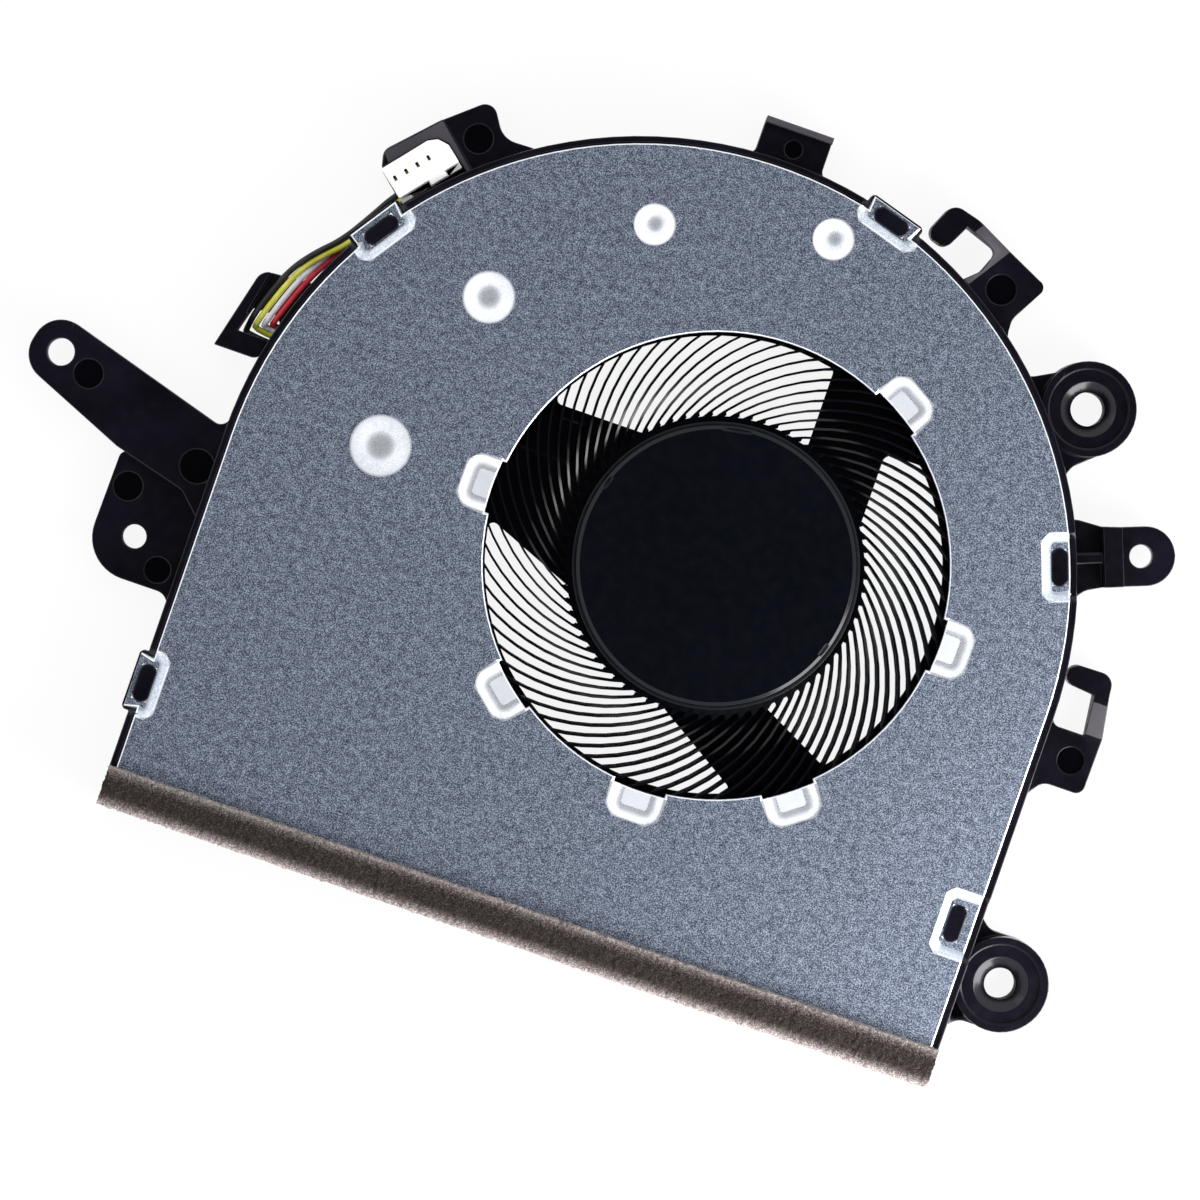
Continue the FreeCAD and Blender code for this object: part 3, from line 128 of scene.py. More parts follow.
# Each lamp, aimed at the impeller: its place and its watts.
LAMPS = {
    "lamp_right": ((125, -52, 68), 0.42),
    "lamp_left": ((-220, 60, 200), 0.03),
}
for lamp_name, (place, watts) in LAMPS.items():
    lamp = bpy.data.lights.new(lamp_name, "AREA")
    lamp.size = LAMP_SIZE * MM
    lamp.energy = watts
    stand = bpy.data.objects.new(lamp_name, lamp)
    stand.location = Vector(place) * MM
    stand.rotation_euler = Vector(place).to_track_quat("Z", "Y").to_euler()
    bpy.context.scene.collection.objects.link(stand)


# Floor. A sheet of white card under the fan. It glows white to the camera, like the backdrop, and
# keeps a faint shadow.
def material(name, colour, roughness, metallic=0.0, specular=0.5):
    """A new material with one shader, its node tree and that shader."""
    made = bpy.data.materials.new(name)
    made.use_nodes = True
    tree = made.node_tree
    shader = tree.nodes["Principled BSDF"]
    shader.inputs["Base Color"].default_value = (*colour, 1)
    shader.inputs["Roughness"].default_value = roughness
    shader.inputs["Metallic"].default_value = metallic
    shader.inputs["Specular IOR Level"].default_value = specular
    return made, tree, shader


FLOOR_WIDTH = 2000
FLOOR_DROP = 0.02
FLOOR_GLOW = 0.9
bpy.ops.object.select_all(action="DESELECT")
bpy.ops.mesh.primitive_plane_add(size=FLOOR_WIDTH * MM, location=(0, 0, -FLOOR_DROP * MM))
floor = bpy.context.object
floor.name = "floor"
card, tree, shader = material("white_card", (0.86, 0.86, 0.86), roughness=0.9, specular=0.0)
glow = tree.nodes.new("ShaderNodeEmission")
glow.inputs["Color"].default_value = (1, 1, 1, 1)
face_of_card = shown_to_camera(tree, shader.outputs[0], glow.outputs[0], FLOOR_GLOW)
tree.links.new(face_of_card, tree.nodes["Material Output"].inputs["Surface"])
floor.data.materials.append(card)


# Leads. Four stranded wires in soft sleeves, soldered to the motor's board, laid through the
# channel under the floor, held by the hook and crimped into the connector.
def dress(piece, *finishes):
    """The piece wears these materials and no others."""
    piece.data.materials.clear()
    for finish in finishes:
        piece.data.materials.append(finish)


def grain(tree, size, detail=2.0, roughness=0.5, stretch=None):
    """Noise of this grain size in millimetres on the piece's own coordinates, maybe drawn out."""
    place = tree.nodes.new("ShaderNodeTexCoord").outputs["Object"]
    if stretch:
        draw_out = tree.nodes.new("ShaderNodeMapping")
        draw_out.inputs["Scale"].default_value = stretch
        tree.links.new(place, draw_out.inputs["Vector"])
        place = draw_out.outputs["Vector"]
    noise = tree.nodes.new("ShaderNodeTexNoise")
    noise.inputs["Scale"].default_value = 1 / (size * MM)
    noise.inputs["Detail"].default_value = detail
    noise.inputs["Roughness"].default_value = roughness
    tree.links.new(place, noise.inputs["Vector"])
    return noise.outputs["Fac"]


def spread(tree, value, low, high):
    """The middle of a noise's range, from 0.3 to 0.7, spread over low to high."""
    made = tree.nodes.new("ShaderNodeMapRange")
    made.inputs["From Min"].default_value = 0.3
    made.inputs["From Max"].default_value = 0.7
    made.inputs["To Min"].default_value = low
    made.inputs["To Max"].default_value = high
    tree.links.new(value, made.inputs["Value"])
    return made.outputs["Result"]


def bump(tree, shader, height, depth):
    """Raises the shader's surface by height, up to depth in millimetres."""
    made = tree.nodes.new("ShaderNodeBump")
    made.inputs["Strength"].default_value = 1.0
    made.inputs["Distance"].default_value = depth * MM
    tree.links.new(height, made.inputs["Height"])
    tree.links.new(made.outputs["Normal"], shader.inputs["Normal"])


def soft_sleeve(name, dark, light):
    """Soft insulation with faint mottling and a satin sheen."""
    made, tree, shader = material(name, light, roughness=0.42, specular=0.4)
    mottling = ramp(tree, grain(tree, size=0.9), ((0.35, dark), (0.65, light)))
    sheen = spread(tree, grain(tree, size=0.3), 0.35, 0.5)
    tree.links.new(mottling, shader.inputs["Base Color"])
    tree.links.new(sheen, shader.inputs["Roughness"])
    bump(tree, shader, grain(tree, size=0.25), depth=0.01)
    return made


WIRE_DIAMETER = 0.6
ROUTES = {
    "red": (
        (-12.7, 7.68, 0.33), (-48.17, 7.68, 0.33), (-48.0, 8.32, 2.4), (-46.2, 13.24, 2.42),
        (-45.03, 15.42, 1.4), (-43.78, 17.62, 1.0), (-41.94, 20.59, 1.0), (-40.66, 22.89, 1.23),
        (-38.28, 25.78, 1.23), (-38.28, 25.78, 2.9)),
    "white": (
        (-12.7, 7.03, 0.33), (-49.01, 7.03, 0.33), (-48.66, 8.35, 2.4), (-46.99, 13.08, 2.35),
        (-45.64, 15.3, 1.75), (-44.35, 17.94, 1.0), (-42.48, 20.96, 1.0), (-41.16, 23.3, 1.23),
        (-37.98, 27.16, 1.23), (-37.98, 27.16, 2.9)),
    "yellow": (
        (-12.7, 6.38, 0.33), (-49.78, 6.38, 0.33), (-49.43, 8.24, 2.3), (-47.69, 13.11, 2.35),
        (-46.07, 15.5, 2.38), (-43.78, 17.62, 1.75), (-41.94, 20.59, 1.75), (-40.66, 22.89, 1.88),
        (-39.87, 23.85, 1.88), (-39.87, 23.85, 2.9)),
    "black": (
        (-12.7, 5.72, 0.33), (-50.48, 5.72, 0.33), (-50.22, 7.56, 1.2), (-49.92, 8.86, 2.4),
        (-48.37, 13.22, 2.4), (-46.54, 15.73, 2.75), (-44.35, 17.94, 1.75), (-42.48, 20.96, 1.75),
        (-41.16, 23.3, 1.88), (-39.57, 25.23, 1.88), (-39.57, 25.23, 2.9)),
}
SLEEVES = {
    "red": soft_sleeve("red_sleeve", (0.42, 0.015, 0.03), (0.62, 0.03, 0.05)),
    "white": soft_sleeve("white_sleeve", (0.68, 0.68, 0.74), (0.82, 0.82, 0.86)),
    "yellow": soft_sleeve("yellow_sleeve", (0.62, 0.62, 0.05), (0.78, 0.78, 0.14)),
    "black": soft_sleeve("black_sleeve", (0.008, 0.008, 0.01), (0.02, 0.02, 0.024)),
}
for colour, route in ROUTES.items():
    line = bpy.data.curves.new(f"lead_{colour}", "CURVE")
    line.dimensions = "3D"
    line.bevel_depth = WIRE_DIAMETER / 2 * MM
    line.bevel_resolution = 3
    line.resolution_u = 10
    line.use_fill_caps = True
    run = line.splines.new("NURBS")
    run.points.add(len(route) - 1)
    for point, (x, y, z) in zip(run.points, route):
        point.co = (x * MM, y * MM, z * MM, 1)
    run.order_u = 3
    run.use_endpoint_u = True
    lead = bpy.data.objects.new(f"lead_{colour}", line)
    bpy.context.scene.collection.objects.link(lead)
    dress(lead, SLEEVES[colour])
    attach(lead, "housing")
    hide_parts(f"wire_{colour}")


# Frame. One moulding in black glass-filled nylon: floor, struts, wall, lugs, bosses and hooks. Its
# edges are a little rounded, and the ejector pins leave round marks on its flat faces. The ramps
# and the lip of the square ear come from a spark-eroded part of the mould and are rougher; their
# lighter grey colour is painted highlight.
CORNER_GAP = 0.002
SKIN_BEND = math.radians(0.6)


def select_only(piece):
    """Selects this piece alone and makes it active."""
    bpy.ops.object.select_all(action="DESELECT")
    piece.select_set(True)
    bpy.context.view_layer.objects.active = piece


def join_skin(piece):
    """Joins the piece's loose corners and makes its flat faces whole."""
    select_only(piece)
    bpy.ops.object.mode_set(mode="EDIT")
    bpy.ops.mesh.select_all(action="SELECT")
    bpy.ops.mesh.remove_doubles(threshold=CORNER_GAP * MM)
    bpy.ops.mesh.dissolve_limited(angle_limit=SKIN_BEND)
    bpy.ops.object.mode_set(mode="OBJECT")


def merged_copy(node, name):
    """A copy of a CAD node as one joined skin."""
    piece = bpy.data.objects.new(name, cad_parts[node].data.copy())
    bpy.context.scene.collection.objects.link(piece)
    select_only(piece)
    bpy.ops.mesh.customdata_custom_splitnormals_clear()
    join_skin(piece)
    return piece


def joined(pieces):
    """The pieces made one object, under the first one's name."""
    select_only(pieces[0])
    for piece in pieces[1:]:
        piece.select_set(True)
    bpy.ops.object.join()
    return pieces[0]


def apply_all(piece):
    """Applies the piece's modifiers in their order."""
    select_only(piece)
    for modifier in list(piece.modifiers):
        bpy.ops.object.modifier_apply(modifier=modifier.name)


def cut_away(piece, tool):
    """Cuts the tool's shape out of the piece and removes the tool."""
    cut = piece.modifiers.new("cut", "BOOLEAN")
    cut.operation = "DIFFERENCE"
    cut.solver = "MANIFOLD"
    cut.object = tool
    apply_all(piece)
    bpy.data.objects.remove(tool)


def pick_edges(piece, wanted):
    """Opens the piece in edit mode with the edges selected for which wanted(edge, angle) holds."""
    select_only(piece)
    bpy.ops.object.mode_set(mode="EDIT")
    bpy.ops.mesh.select_mode(type="EDGE")
    bpy.ops.mesh.select_all(action="DESELECT")
    skin = bmesh.from_edit_mesh(piece.data)
    for edge in skin.edges:
        if len(edge.link_faces) == 2 and wanted(edge, math.degrees(edge.calc_face_angle())):
            edge.select_set(True)
    bmesh.update_edit_mesh(piece.data)


def bevel_picked(width, segments, slot=-1):
    """Rounds the selected edges, in their faces' material or this slot's, and leaves edit mode."""
    bpy.ops.mesh.bevel(offset=width * MM, segments=segments, affect="EDGES", material=slot)
    bpy.ops.object.mode_set(mode="OBJECT")


def shade(piece, angle=40):
    """Smooth shading, broken where faces meet at over angle degrees. Broad faces stay flat."""
    select_only(piece)
    bpy.ops.object.shade_smooth_by_angle(angle=math.radians(angle))
    weight = piece.modifiers.new("flat_faces", "WEIGHTED_NORMAL")
    weight.mode = "FACE_AREA"
    weight.weight = 100
    weight.keep_sharp = True
    apply_all(piece)


def black_moulding(name, dark, light, rough, texture, specular=0.45):
    """Filled black plastic with a fine spark-eroded skin and faint flow marks."""
    made, tree, shader = material(name, light, rough, specular=specular)
    flow = ramp(tree, grain(tree, size=7.0, detail=3.0), ((0.35, dark), (0.7, light)))
    sheen = spread(tree, grain(tree, size=1.1), rough - 0.03, rough + 0.03)
    tree.links.new(flow, shader.inputs["Base Color"])
    tree.links.new(sheen, shader.inputs["Roughness"])
    bump(tree, shader, grain(tree, size=0.12, detail=3.0), texture)
    return made


nylon = black_moulding("black_nylon", (0.0012, 0.001, 0.0028), (0.0044, 0.0036, 0.0085),
                       rough=0.22, texture=0.0025, specular=0.36)
marked = black_moulding("pin_marked_nylon", (0.0006, 0.0005, 0.0012), (0.001, 0.0008, 0.002),
                        rough=0.12, texture=0.001, specular=0.3)
# Rougher spark-eroded finish, whose lighter grey is a painted highlight on the ramps and the lip.
sparked_and_highlit = black_moulding("sparked_nylon_painted_highlight", (0.022, 0.019, 0.026), (0.04, 0.036, 0.047),
                         rough=0.5, texture=0.008, specular=0.6)
# The slots of its other two finishes.
MARKED, SPARKED_HIGHLIT = 1, 2

# Each ejector mark: its middle, its radius and the height of the face that it sinks into.
EJECTOR_MARKS = (
    (-63.15, -2.28, 1.45, 3.9), (-50.4, -7.3, 1.7, 3.9), (-56.15, -11.31, 1.45, 2.1),
    (-50.84, -18.06, 1.3, 2.1), (-35.08, 31.41, 1.45, 3.4), (-5.98, 40.5, 0.9, 2.4),
    (17.46, 34.27, 1.5, 3.0), (38.9, -6.63, 1.35, 2.6), (36.32, -33.11, 0.85, 2.2),
)
MARK_DEPTH = 0.35
MARK_STEPS = 36
MARK_SLACK = 0.02

# Each ramp: the middle of its low end, the middle of its high end and its width.
RAMPS = (
    ((16.17, 36.61, 3.0), (13.11, 38.6, 3.8), 7.0),
    ((39.25, -3.7, 2.6), (39.25, -0.5, 3.4), 7.0),
    ((-36.94, 30.85, 3.4), (-42.29, 26.12, 4.6), 6.5),
)
CHISEL_HEIGHT = 3.0

# The box round the top of the square ear's lip, whose two long edges are rounded more.
lip_low, lip_high = Vector((-9.5, 42.0, 3.55)) * MM, Vector((-2.6, 42.8, 3.65)) * MM
LIP_ROUND = 0.3
LIP_ROUND_STEPS = 5
LIP_LONG_EDGE = 3
LIP_FACES_UP = 0.3

# An edge is sharp where it turns by more than this many degrees, and rounded if it isn't too short.
SHARP = 35
SHORTEST_ROUNDED = 0.12
MOULD_EDGE = 0.12
MARK_EDGE = 0.07
EDGE_STEPS = 2
# Two directions are taken as the same where their dot product is over this.
PARALLEL = 0.9999


def slope_of(low, high):
    """The three directions of a slope: along it, across it and out of it."""
    along = (Vector(high) - Vector(low)).normalized()
    across = Vector((0, 0, 1)).cross(along).normalized()
    return along, across, along.cross(across)


def slope_chisel(low, high, width):
    """A block whose underside lies on the slope from low to high."""
    directions = slope_of(low, high)
    middle = (Vector(low) + Vector(high) + directions[2] * CHISEL_HEIGHT) / 2
    bpy.ops.object.select_all(action="DESELECT")
    bpy.ops.mesh.primitive_cube_add(size=1.0, location=middle * MM,
                                    rotation=Matrix(directions).transposed().to_euler())
    block = bpy.context.object
    block.scale = Vector(((Vector(high) - Vector(low)).length, width, CHISEL_HEIGHT)) * MM
    return block


def at_mark(edge):
    """Whether an edge is part of an ejector mark's rim or foot."""
    for x, y, radius, top in EJECTOR_MARKS:
        reaches = [(corner.co.xy / MM - Vector((x, y))).length for corner in edge.verts]
        if all(abs(reach - radius) < MARK_SLACK for reach in reaches):
            return True
    return False


def mark_floor(face):
    """Whether a face is the floor of an ejector mark."""
    spot = face.center / MM
    return face.normal.z > PARALLEL and any(
        (spot.xy - Vector((x, y))).length < radius and abs(spot.z - top + MARK_DEPTH) < MARK_SLACK
        for x, y, radius, top in EJECTOR_MARKS)


def on_ramp(face):
    """Whether a face is one of the ramps."""
    return any(face.normal.dot(slope_of(low, high)[2]) > PARALLEL for low, high, width in RAMPS)


def lip_edge(edge):
    """Whether an edge is one of the two long ones on top of the square ear's lip."""
    inside = all(lip_low[i] < corner.co[i] < lip_high[i] for corner in edge.verts for i in range(3))
    return inside and edge.calc_length() > LIP_LONG_EDGE * MM


def on_lip(face):
    """Whether a face belongs to the rounded top of the square ear's lip."""
    over_lip = all(lip_low[i] < face.center[i] < lip_high[i] for i in range(2))
    return over_lip and face.center.z > lip_low.z - LIP_ROUND * MM and face.normal.z > LIP_FACES_UP


moulding = merged_copy("frame", "frame_moulding")
dress(moulding, nylon, marked, sparked_and_highlit)
pins = []
for x, y, radius, top in EJECTOR_MARKS:
    bpy.ops.object.select_all(action="DESELECT")
    bpy.ops.mesh.primitive_cylinder_add(vertices=MARK_STEPS, radius=radius * MM,
                                        depth=2 * MARK_DEPTH * MM,
                                        location=(x * MM, y * MM, top * MM))
    pins.append(bpy.context.object)
cut_away(moulding, joined(pins))
for low, high, width in RAMPS:
    cut_away(moulding, slope_chisel(low, high, width))
join_skin(moulding)
for face in moulding.data.polygons:
    if mark_floor(face):
        face.material_index = MARKED
    if on_ramp(face):
        face.material_index = SPARKED_HIGHLIT
pick_edges(moulding, lambda edge, angle: angle > SHARP and lip_edge(edge))
bevel_picked(LIP_ROUND, LIP_ROUND_STEPS)
# The lip's rounded top takes the sparked finish with its painted highlight too.
for face in moulding.data.polygons:
    if on_lip(face):
        face.material_index = SPARKED_HIGHLIT
pick_edges(moulding, lambda edge, angle: angle > SHARP and not at_mark(edge)
           and edge.calc_length() > SHORTEST_ROUNDED * MM)
bevel_picked(MOULD_EDGE, EDGE_STEPS)
pick_edges(moulding, lambda edge, angle: angle > SHARP and at_mark(edge))
bevel_picked(MARK_EDGE, EDGE_STEPS)
shade(moulding)
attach(moulding, "housing")
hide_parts("frame")


# Cover. Pressed sheet steel with a speckled zinc coating, held down by the frame's stakes. The
# coating is stretched and drawn on the slopes of the dimples and pads. Those slopes, the rounded
# crests and feet of the pressed forms and the floors of the inlet's pads are coloured pale as a
# painted highlight. The sheared edges are bare.
def zinc_coat(name, speckles, rough, metallic=0.75, depth=0.008):
    """Zinc-coated steel sheet: fine speckles in three shades, with faint patches."""
    made, tree, shader = material(name, speckles[1], rough, metallic=metallic)
    fine = grain(tree, size=0.13, roughness=0.6)
    patches = grain(tree, size=0.75)
    mix = tree.nodes.new("ShaderNodeMix")
    mix.inputs["Factor"].default_value = 0.18
    tree.links.new(fine, mix.inputs["A"])
    tree.links.new(patches, mix.inputs["B"])
    stops = ((0.365, speckles[0]), (0.5, speckles[1]), (0.635, speckles[2]))
    tree.links.new(ramp(tree, mix.outputs["Result"], stops), shader.inputs["Base Color"])
    tree.links.new(spread(tree, fine, rough + 0.08, rough - 0.05), shader.inputs["Roughness"])
    bump(tree, shader, mix.outputs["Result"], depth)
    return made


zinc = zinc_coat(
    "speckled_zinc", ((0.01, 0.0155, 0.03), (0.136, 0.158, 0.212), (0.46, 0.53, 0.645)),
    rough=0.42)
# Pale coat of painted highlight for the stretched slopes, crests and soft feet, and the dimples'
# floors.
stretched_and_highlit = zinc_coat(
    "stretched_zinc_painted_highlight", ((0.74, 0.78, 0.86), (0.86, 0.89, 0.94), (0.95, 0.97, 1.0)),
    rough=0.28, metallic=0.85, depth=0.002)
sheared = zinc_coat(
    "sheared_steel", ((0.7, 0.74, 0.8), (0.85, 0.88, 0.92), (0.93, 0.95, 0.97)), rough=0.3)
# Pale coat of painted highlight for the other pads' drawn slopes and tight feet.
drawn_and_highlit = zinc_coat(
    "drawn_zinc_painted_highlight", ((0.4, 0.46, 0.53), (0.58, 0.64, 0.71), (0.76, 0.82, 0.88)),
    rough=0.34, metallic=0.85, depth=0.002)
# Pale coat without speckles, a painted highlight, for the floors of the inlet's pads.
pad_floor_highlit = zinc_coat(
    "pad_floor_painted_highlight", ((0.76, 0.8, 0.87), (0.85, 0.88, 0.93), (0.92, 0.95, 0.98)),
    rough=0.42, metallic=0.85, depth=0.002)
# The slots of the finishes beside the plain coating: sheared steel and three pale coats of painted
# highlight.
STRETCHED_HIGHLIT, SHEARED, DRAWN_HIGHLIT, PAD_FLOOR_HIGHLIT = 1, 2, 3, 4

PADS_WITHIN = 28.0
DIMPLES = ((0.35, 33.35), (-16.37, 29.06), (-29.14, 17.23), (-34.3, 0.36))
DIMPLE_REACH = 3.0
PRESSED_WITHIN = 0.5
PAD_FLOOR_BELOW = 0.1
SLOPE_FACES_UP = (0.8, 0.995)

# The bends of the pressed forms are picked by how far the sheet turns there, in degrees.
CREST_TURN = (8, 40)
FOOT_TURN = (10, 40)
SHEARED_TURN = 60
TOP_FACES_UP = 0.9
PRESSED_EDGE = 0.1
SOFT_FOOT = (0.5, STRETCHED_HIGHLIT)
TIGHT_FOOT = (0.3, DRAWN_HIGHLIT)
FOOT_STEPS = 4
SHEARED_EDGE = 0.14
COVER_SHADING = math.radians(12)
cover_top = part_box("top_cover")[1][2]
pressed_from = cover_top - PRESSED_WITHIN * MM


def at_inlet(place):
    """Whether a place on the cover is among the pads round the inlet."""
    return place.length < PADS_WITHIN


def in_dimple(place):
    """Whether a place on the cover is in one of the dimples."""
    return any((place - Vector(dimple)).length < DIMPLE_REACH for dimple in DIMPLES)


def soft_foot(edge):
    """Whether an edge belongs to a dimple or to a pad at the inlet, which have wide soft curves."""
    place = edge.verts[0].co.xy / MM
    return at_inlet(place) or in_dimple(place)


def crest_edge(edge, angle):
    """Whether an edge runs round the top of a pressed form."""
    turns = CREST_TURN[0] < angle < CREST_TURN[1]
    return turns and edge.is_convex and edge.verts[0].co.z > pressed_from


def foot_edge(edge, angle):
    """Whether an edge runs round the foot of a pressed form."""
    turns = FOOT_TURN[0] < angle < FOOT_TURN[1]
    return turns and not edge.is_convex and edge.verts[0].co.z > pressed_from


def sheared_edge(edge, angle):
    """Whether an edge lies where the sheet's upper face was sheared."""
    on_top = min(corner.co.z for corner in edge.verts) > pressed_from
    beside_top = max(face.normal.z for face in edge.link_faces) > TOP_FACES_UP
    return angle > SHEARED_TURN and on_top and beside_top


pressing = merged_copy("top_cover", "cover_pressing")
dress(pressing, zinc, stretched_and_highlit, sheared, drawn_and_highlit, pad_floor_highlit)
# Slopes, picked by how far their faces turn up, and sunk floors get the pale coats of painted
# highlight.
for face in pressing.data.polygons:
    place = face.center.xy / MM
    formed = face.center.z > pressed_from
    slopes = SLOPE_FACES_UP[0] < face.normal.z < SLOPE_FACES_UP[1]
    sunk = face.center.z < cover_top - PAD_FLOOR_BELOW * MM and face.normal.z > PARALLEL
    if formed and slopes:
        face.material_index = STRETCHED_HIGHLIT if at_inlet(place) or in_dimple(place) else DRAWN_HIGHLIT
    elif formed and sunk and at_inlet(place):
        face.material_index = PAD_FLOOR_HIGHLIT
    elif formed and sunk and in_dimple(place):
        face.material_index = STRETCHED_HIGHLIT
# The rounded crests and feet get pale coats of painted highlight as well.
pick_edges(pressing, crest_edge)
bevel_picked(PRESSED_EDGE, EDGE_STEPS, STRETCHED_HIGHLIT)
for soft, (width, slot) in ((True, SOFT_FOOT), (False, TIGHT_FOOT)):
    pick_edges(pressing, lambda edge, angle: foot_edge(edge, angle) and soft_foot(edge) == soft)
    bevel_picked(width, FOOT_STEPS, slot)
pick_edges(pressing, sheared_edge)
bevel_picked(SHEARED_EDGE, EDGE_STEPS, SHEARED)
select_only(pressing)
bpy.ops.object.shade_smooth_by_angle(angle=COVER_SHADING)
for face in pressing.data.polygons:
    if abs(face.normal.z) > PARALLEL:
        face.use_smooth = False
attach(pressing, "housing")
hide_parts("top_cover")


# Foam. A strip of open-cell foam, stuck on the cover along the outlet, cut from a sheet so that its
# edges fray. It is darker along the middle, where the cells are whole.
FOAM_VOXEL = 0.15
FOAM_SKIN = 0.12
FOAM_FRAY = 0.7
FOAM_SHADING = 60
# Each layer of roughness: the size of its lumps and how far they reach.
FOAM_LAYERS = {"cells": (0.2, 0.45), "frayed": (0.7, 0.25)}
# The colours from one long side of the strip to the other.
FOAM_BAND = (
    (0.0, (0.56, 0.49, 0.47)), (0.12, (0.2, 0.17, 0.16)), (0.28, (0.02, 0.0155, 0.0145)),
    (0.72, (0.02, 0.0155, 0.0145)), (0.88, (0.11, 0.092, 0.086)), (1.0, (0.33, 0.3, 0.28)),
)
FOAM_STRAND = (0.24, 0.2, 0.19)
FOAM_STRANDS_FROM = 0.5
FOAM_STRANDS_TO = 0.68
FOAM_STRANDS_SHARE = 0.3
low, high = (Vector(corner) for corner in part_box("outlet_foam"))
skin = Vector((FOAM_SKIN, FOAM_SKIN, 0)) * MM
bpy.ops.object.select_all(action="DESELECT")
bpy.ops.mesh.primitive_cube_add(size=1.0, location=(low + high) / 2)
strip = bpy.context.object
strip.name = "foam_strip"
strip.scale = high - low - 2 * skin - Vector((0, 0, FOAM_SKIN)) * MM
bpy.ops.object.transform_apply(location=True, rotation=True, scale=True)
remesh = strip.modifiers.new("cells", "REMESH")
remesh.mode = "VOXEL"
remesh.voxel_size = FOAM_VOXEL * MM
for layer, (size, reach) in FOAM_LAYERS.items():
    pattern = bpy.data.textures.new(layer, "CLOUDS")
    pattern.noise_scale = size * MM
    pattern.noise_depth = 2
    push = strip.modifiers.new(layer, "DISPLACE")
    push.texture = pattern
    push.texture_coords = "LOCAL"
    push.strength = reach * MM
    push.mid_level = 0.5
apply_all(strip)
shade(strip, FOAM_SHADING)
foam, tree, shader = material("open_cell_foam", (0.2, 0.17, 0.15), roughness=0.95, specular=0.1)
place = tree.nodes.new("ShaderNodeTexCoord")
axes = tree.nodes.new("ShaderNodeSeparateXYZ")
across = tree.nodes.new("ShaderNodeMapRange")
across.inputs["From Min"].default_value = low.y
across.inputs["From Max"].default_value = high.y
across.inputs["To Min"].default_value = -FOAM_FRAY / 2
across.inputs["To Max"].default_value = 1 - FOAM_FRAY / 2
tree.links.new(place.outputs["Object"], axes.inputs[0])
tree.links.new(axes.outputs["Y"], across.inputs["Value"])
strands = grain(tree, size=0.14, detail=3.0, roughness=0.7)
fray = tree.nodes.new("ShaderNodeMath")
fray.operation = "MULTIPLY_ADD"
fray.inputs[1].default_value = FOAM_FRAY
tree.links.new(strands, fray.inputs[0])
tree.links.new(across.outputs["Result"], fray.inputs[2])
lit = tree.nodes.new("ShaderNodeMapRange")
lit.inputs["From Min"].default_value = FOAM_STRANDS_FROM
lit.inputs["From Max"].default_value = FOAM_STRANDS_TO
lit.inputs["To Max"].default_value = FOAM_STRANDS_SHARE
tree.links.new(strands, lit.inputs["Value"])
tint = tree.nodes.new("ShaderNodeMix")
tint.data_type = "RGBA"
tint.inputs["B"].default_value = (*FOAM_STRAND, 1)
tree.links.new(lit.outputs["Result"], tint.inputs["Factor"])
tree.links.new(ramp(tree, fray.outputs[0], FOAM_BAND), tint.inputs["A"])
tree.links.new(tint.outputs["Result"], shader.inputs["Base Color"])
bump(tree, shader, grain(tree, size=0.12, detail=3.0), depth=0.06)
dress(strip, foam)
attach(strip, "housing")
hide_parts("outlet_foam")


# Impeller. One moulding in matt black plastic, pressed on the shaft: a flat hub with a stepped rim,
# a low ring round its foot, 71 thin blades that lean back along an arc, and a hoop that ties their
# tips. The hub's rim has three small notches.
BLADE_COUNT = 71
BLADE_THICKNESS = 0.22
BLADE_ARC = 19.8
BLADE_ARC_OFFSET = 11.69
BLADE_PHASE = math.radians(-71.1)
BLADE_BOTTOM = 1.45
BLADE_TOP = 5.05
# A blade is spun in three stretches, between four radii.
BLADE_ROOT = 13.7
BLADE_SWELL = 14.3
BLADE_BEND = 15.05
BLADE_TIP = 28.5
STRETCH_STEPS = (4, 12, 14)
# Its top falls from the full height to just below the foot ring's top. Its upper corners are those
# more than this far above its bottom.
BLADE_FULL = 17.5
ROOT_SINK = 0.1
UPPER_CORNERS = 1
# The slots between the blades end in an arc at the hub, so each blade swells towards its root.
SLOT_END = 14.72
SLOT_END_RADIUS = 0.26
ROOT_LEAN = math.radians(54.5)
BLADE_SHADING = 60
HUB_RADIUS = 13.9
HUB_TOP = 5.35
HUB_SKIN = 0.7
HUB_RIM = 0.42
HUB_STEP = 0.25
HUB_STEP_RUN = 0.28
HUB_EDGE = 0.06
CAP_FACES_UP = 0.9
# Each notch: its heading in degrees and its width.
NOTCHES = ((161.5, 1.3), (100.3, 2.8), (341.0, 1.3))
NOTCH_RADIUS = 13.35
NOTCH_REACH = 0.7
NOTCH_DEPTH = 0.18
# The section of each ring: inner radius, outer radius, bottom and top.
FOOT_RING = (13.3, 14.35, 1.45, 3.15)
TIP_HOOP = (28.0, 28.6, 1.45, 2.05)
RING_EDGE = 0.05
ROUND_STEPS = 144


def on_blade(radius):
    """The point of the first blade's middle line at a radius from the rotor's axis."""
    cosine = (radius**2 + BLADE_ARC_OFFSET**2 - BLADE_ARC**2) / (2 * radius * BLADE_ARC_OFFSET)
    angle = BLADE_PHASE + math.acos(cosine)
    return Vector((math.cos(angle), math.sin(angle), 0)) * radius


def upright_plane(name, middle, heading, width, height):
    """A plane that stands upright, with its width along a heading in the level plane."""
    bpy.ops.object.select_all(action="DESELECT")
    bpy.ops.mesh.primitive_plane_add(size=1.0, location=middle * MM,
                                     rotation=(math.pi / 2, 0, heading))
    plane = bpy.context.object
    plane.name = name
    plane.scale = (width * MM, height * MM, 1)
    bpy.ops.object.transform_apply(location=True, rotation=True, scale=True)
    return plane


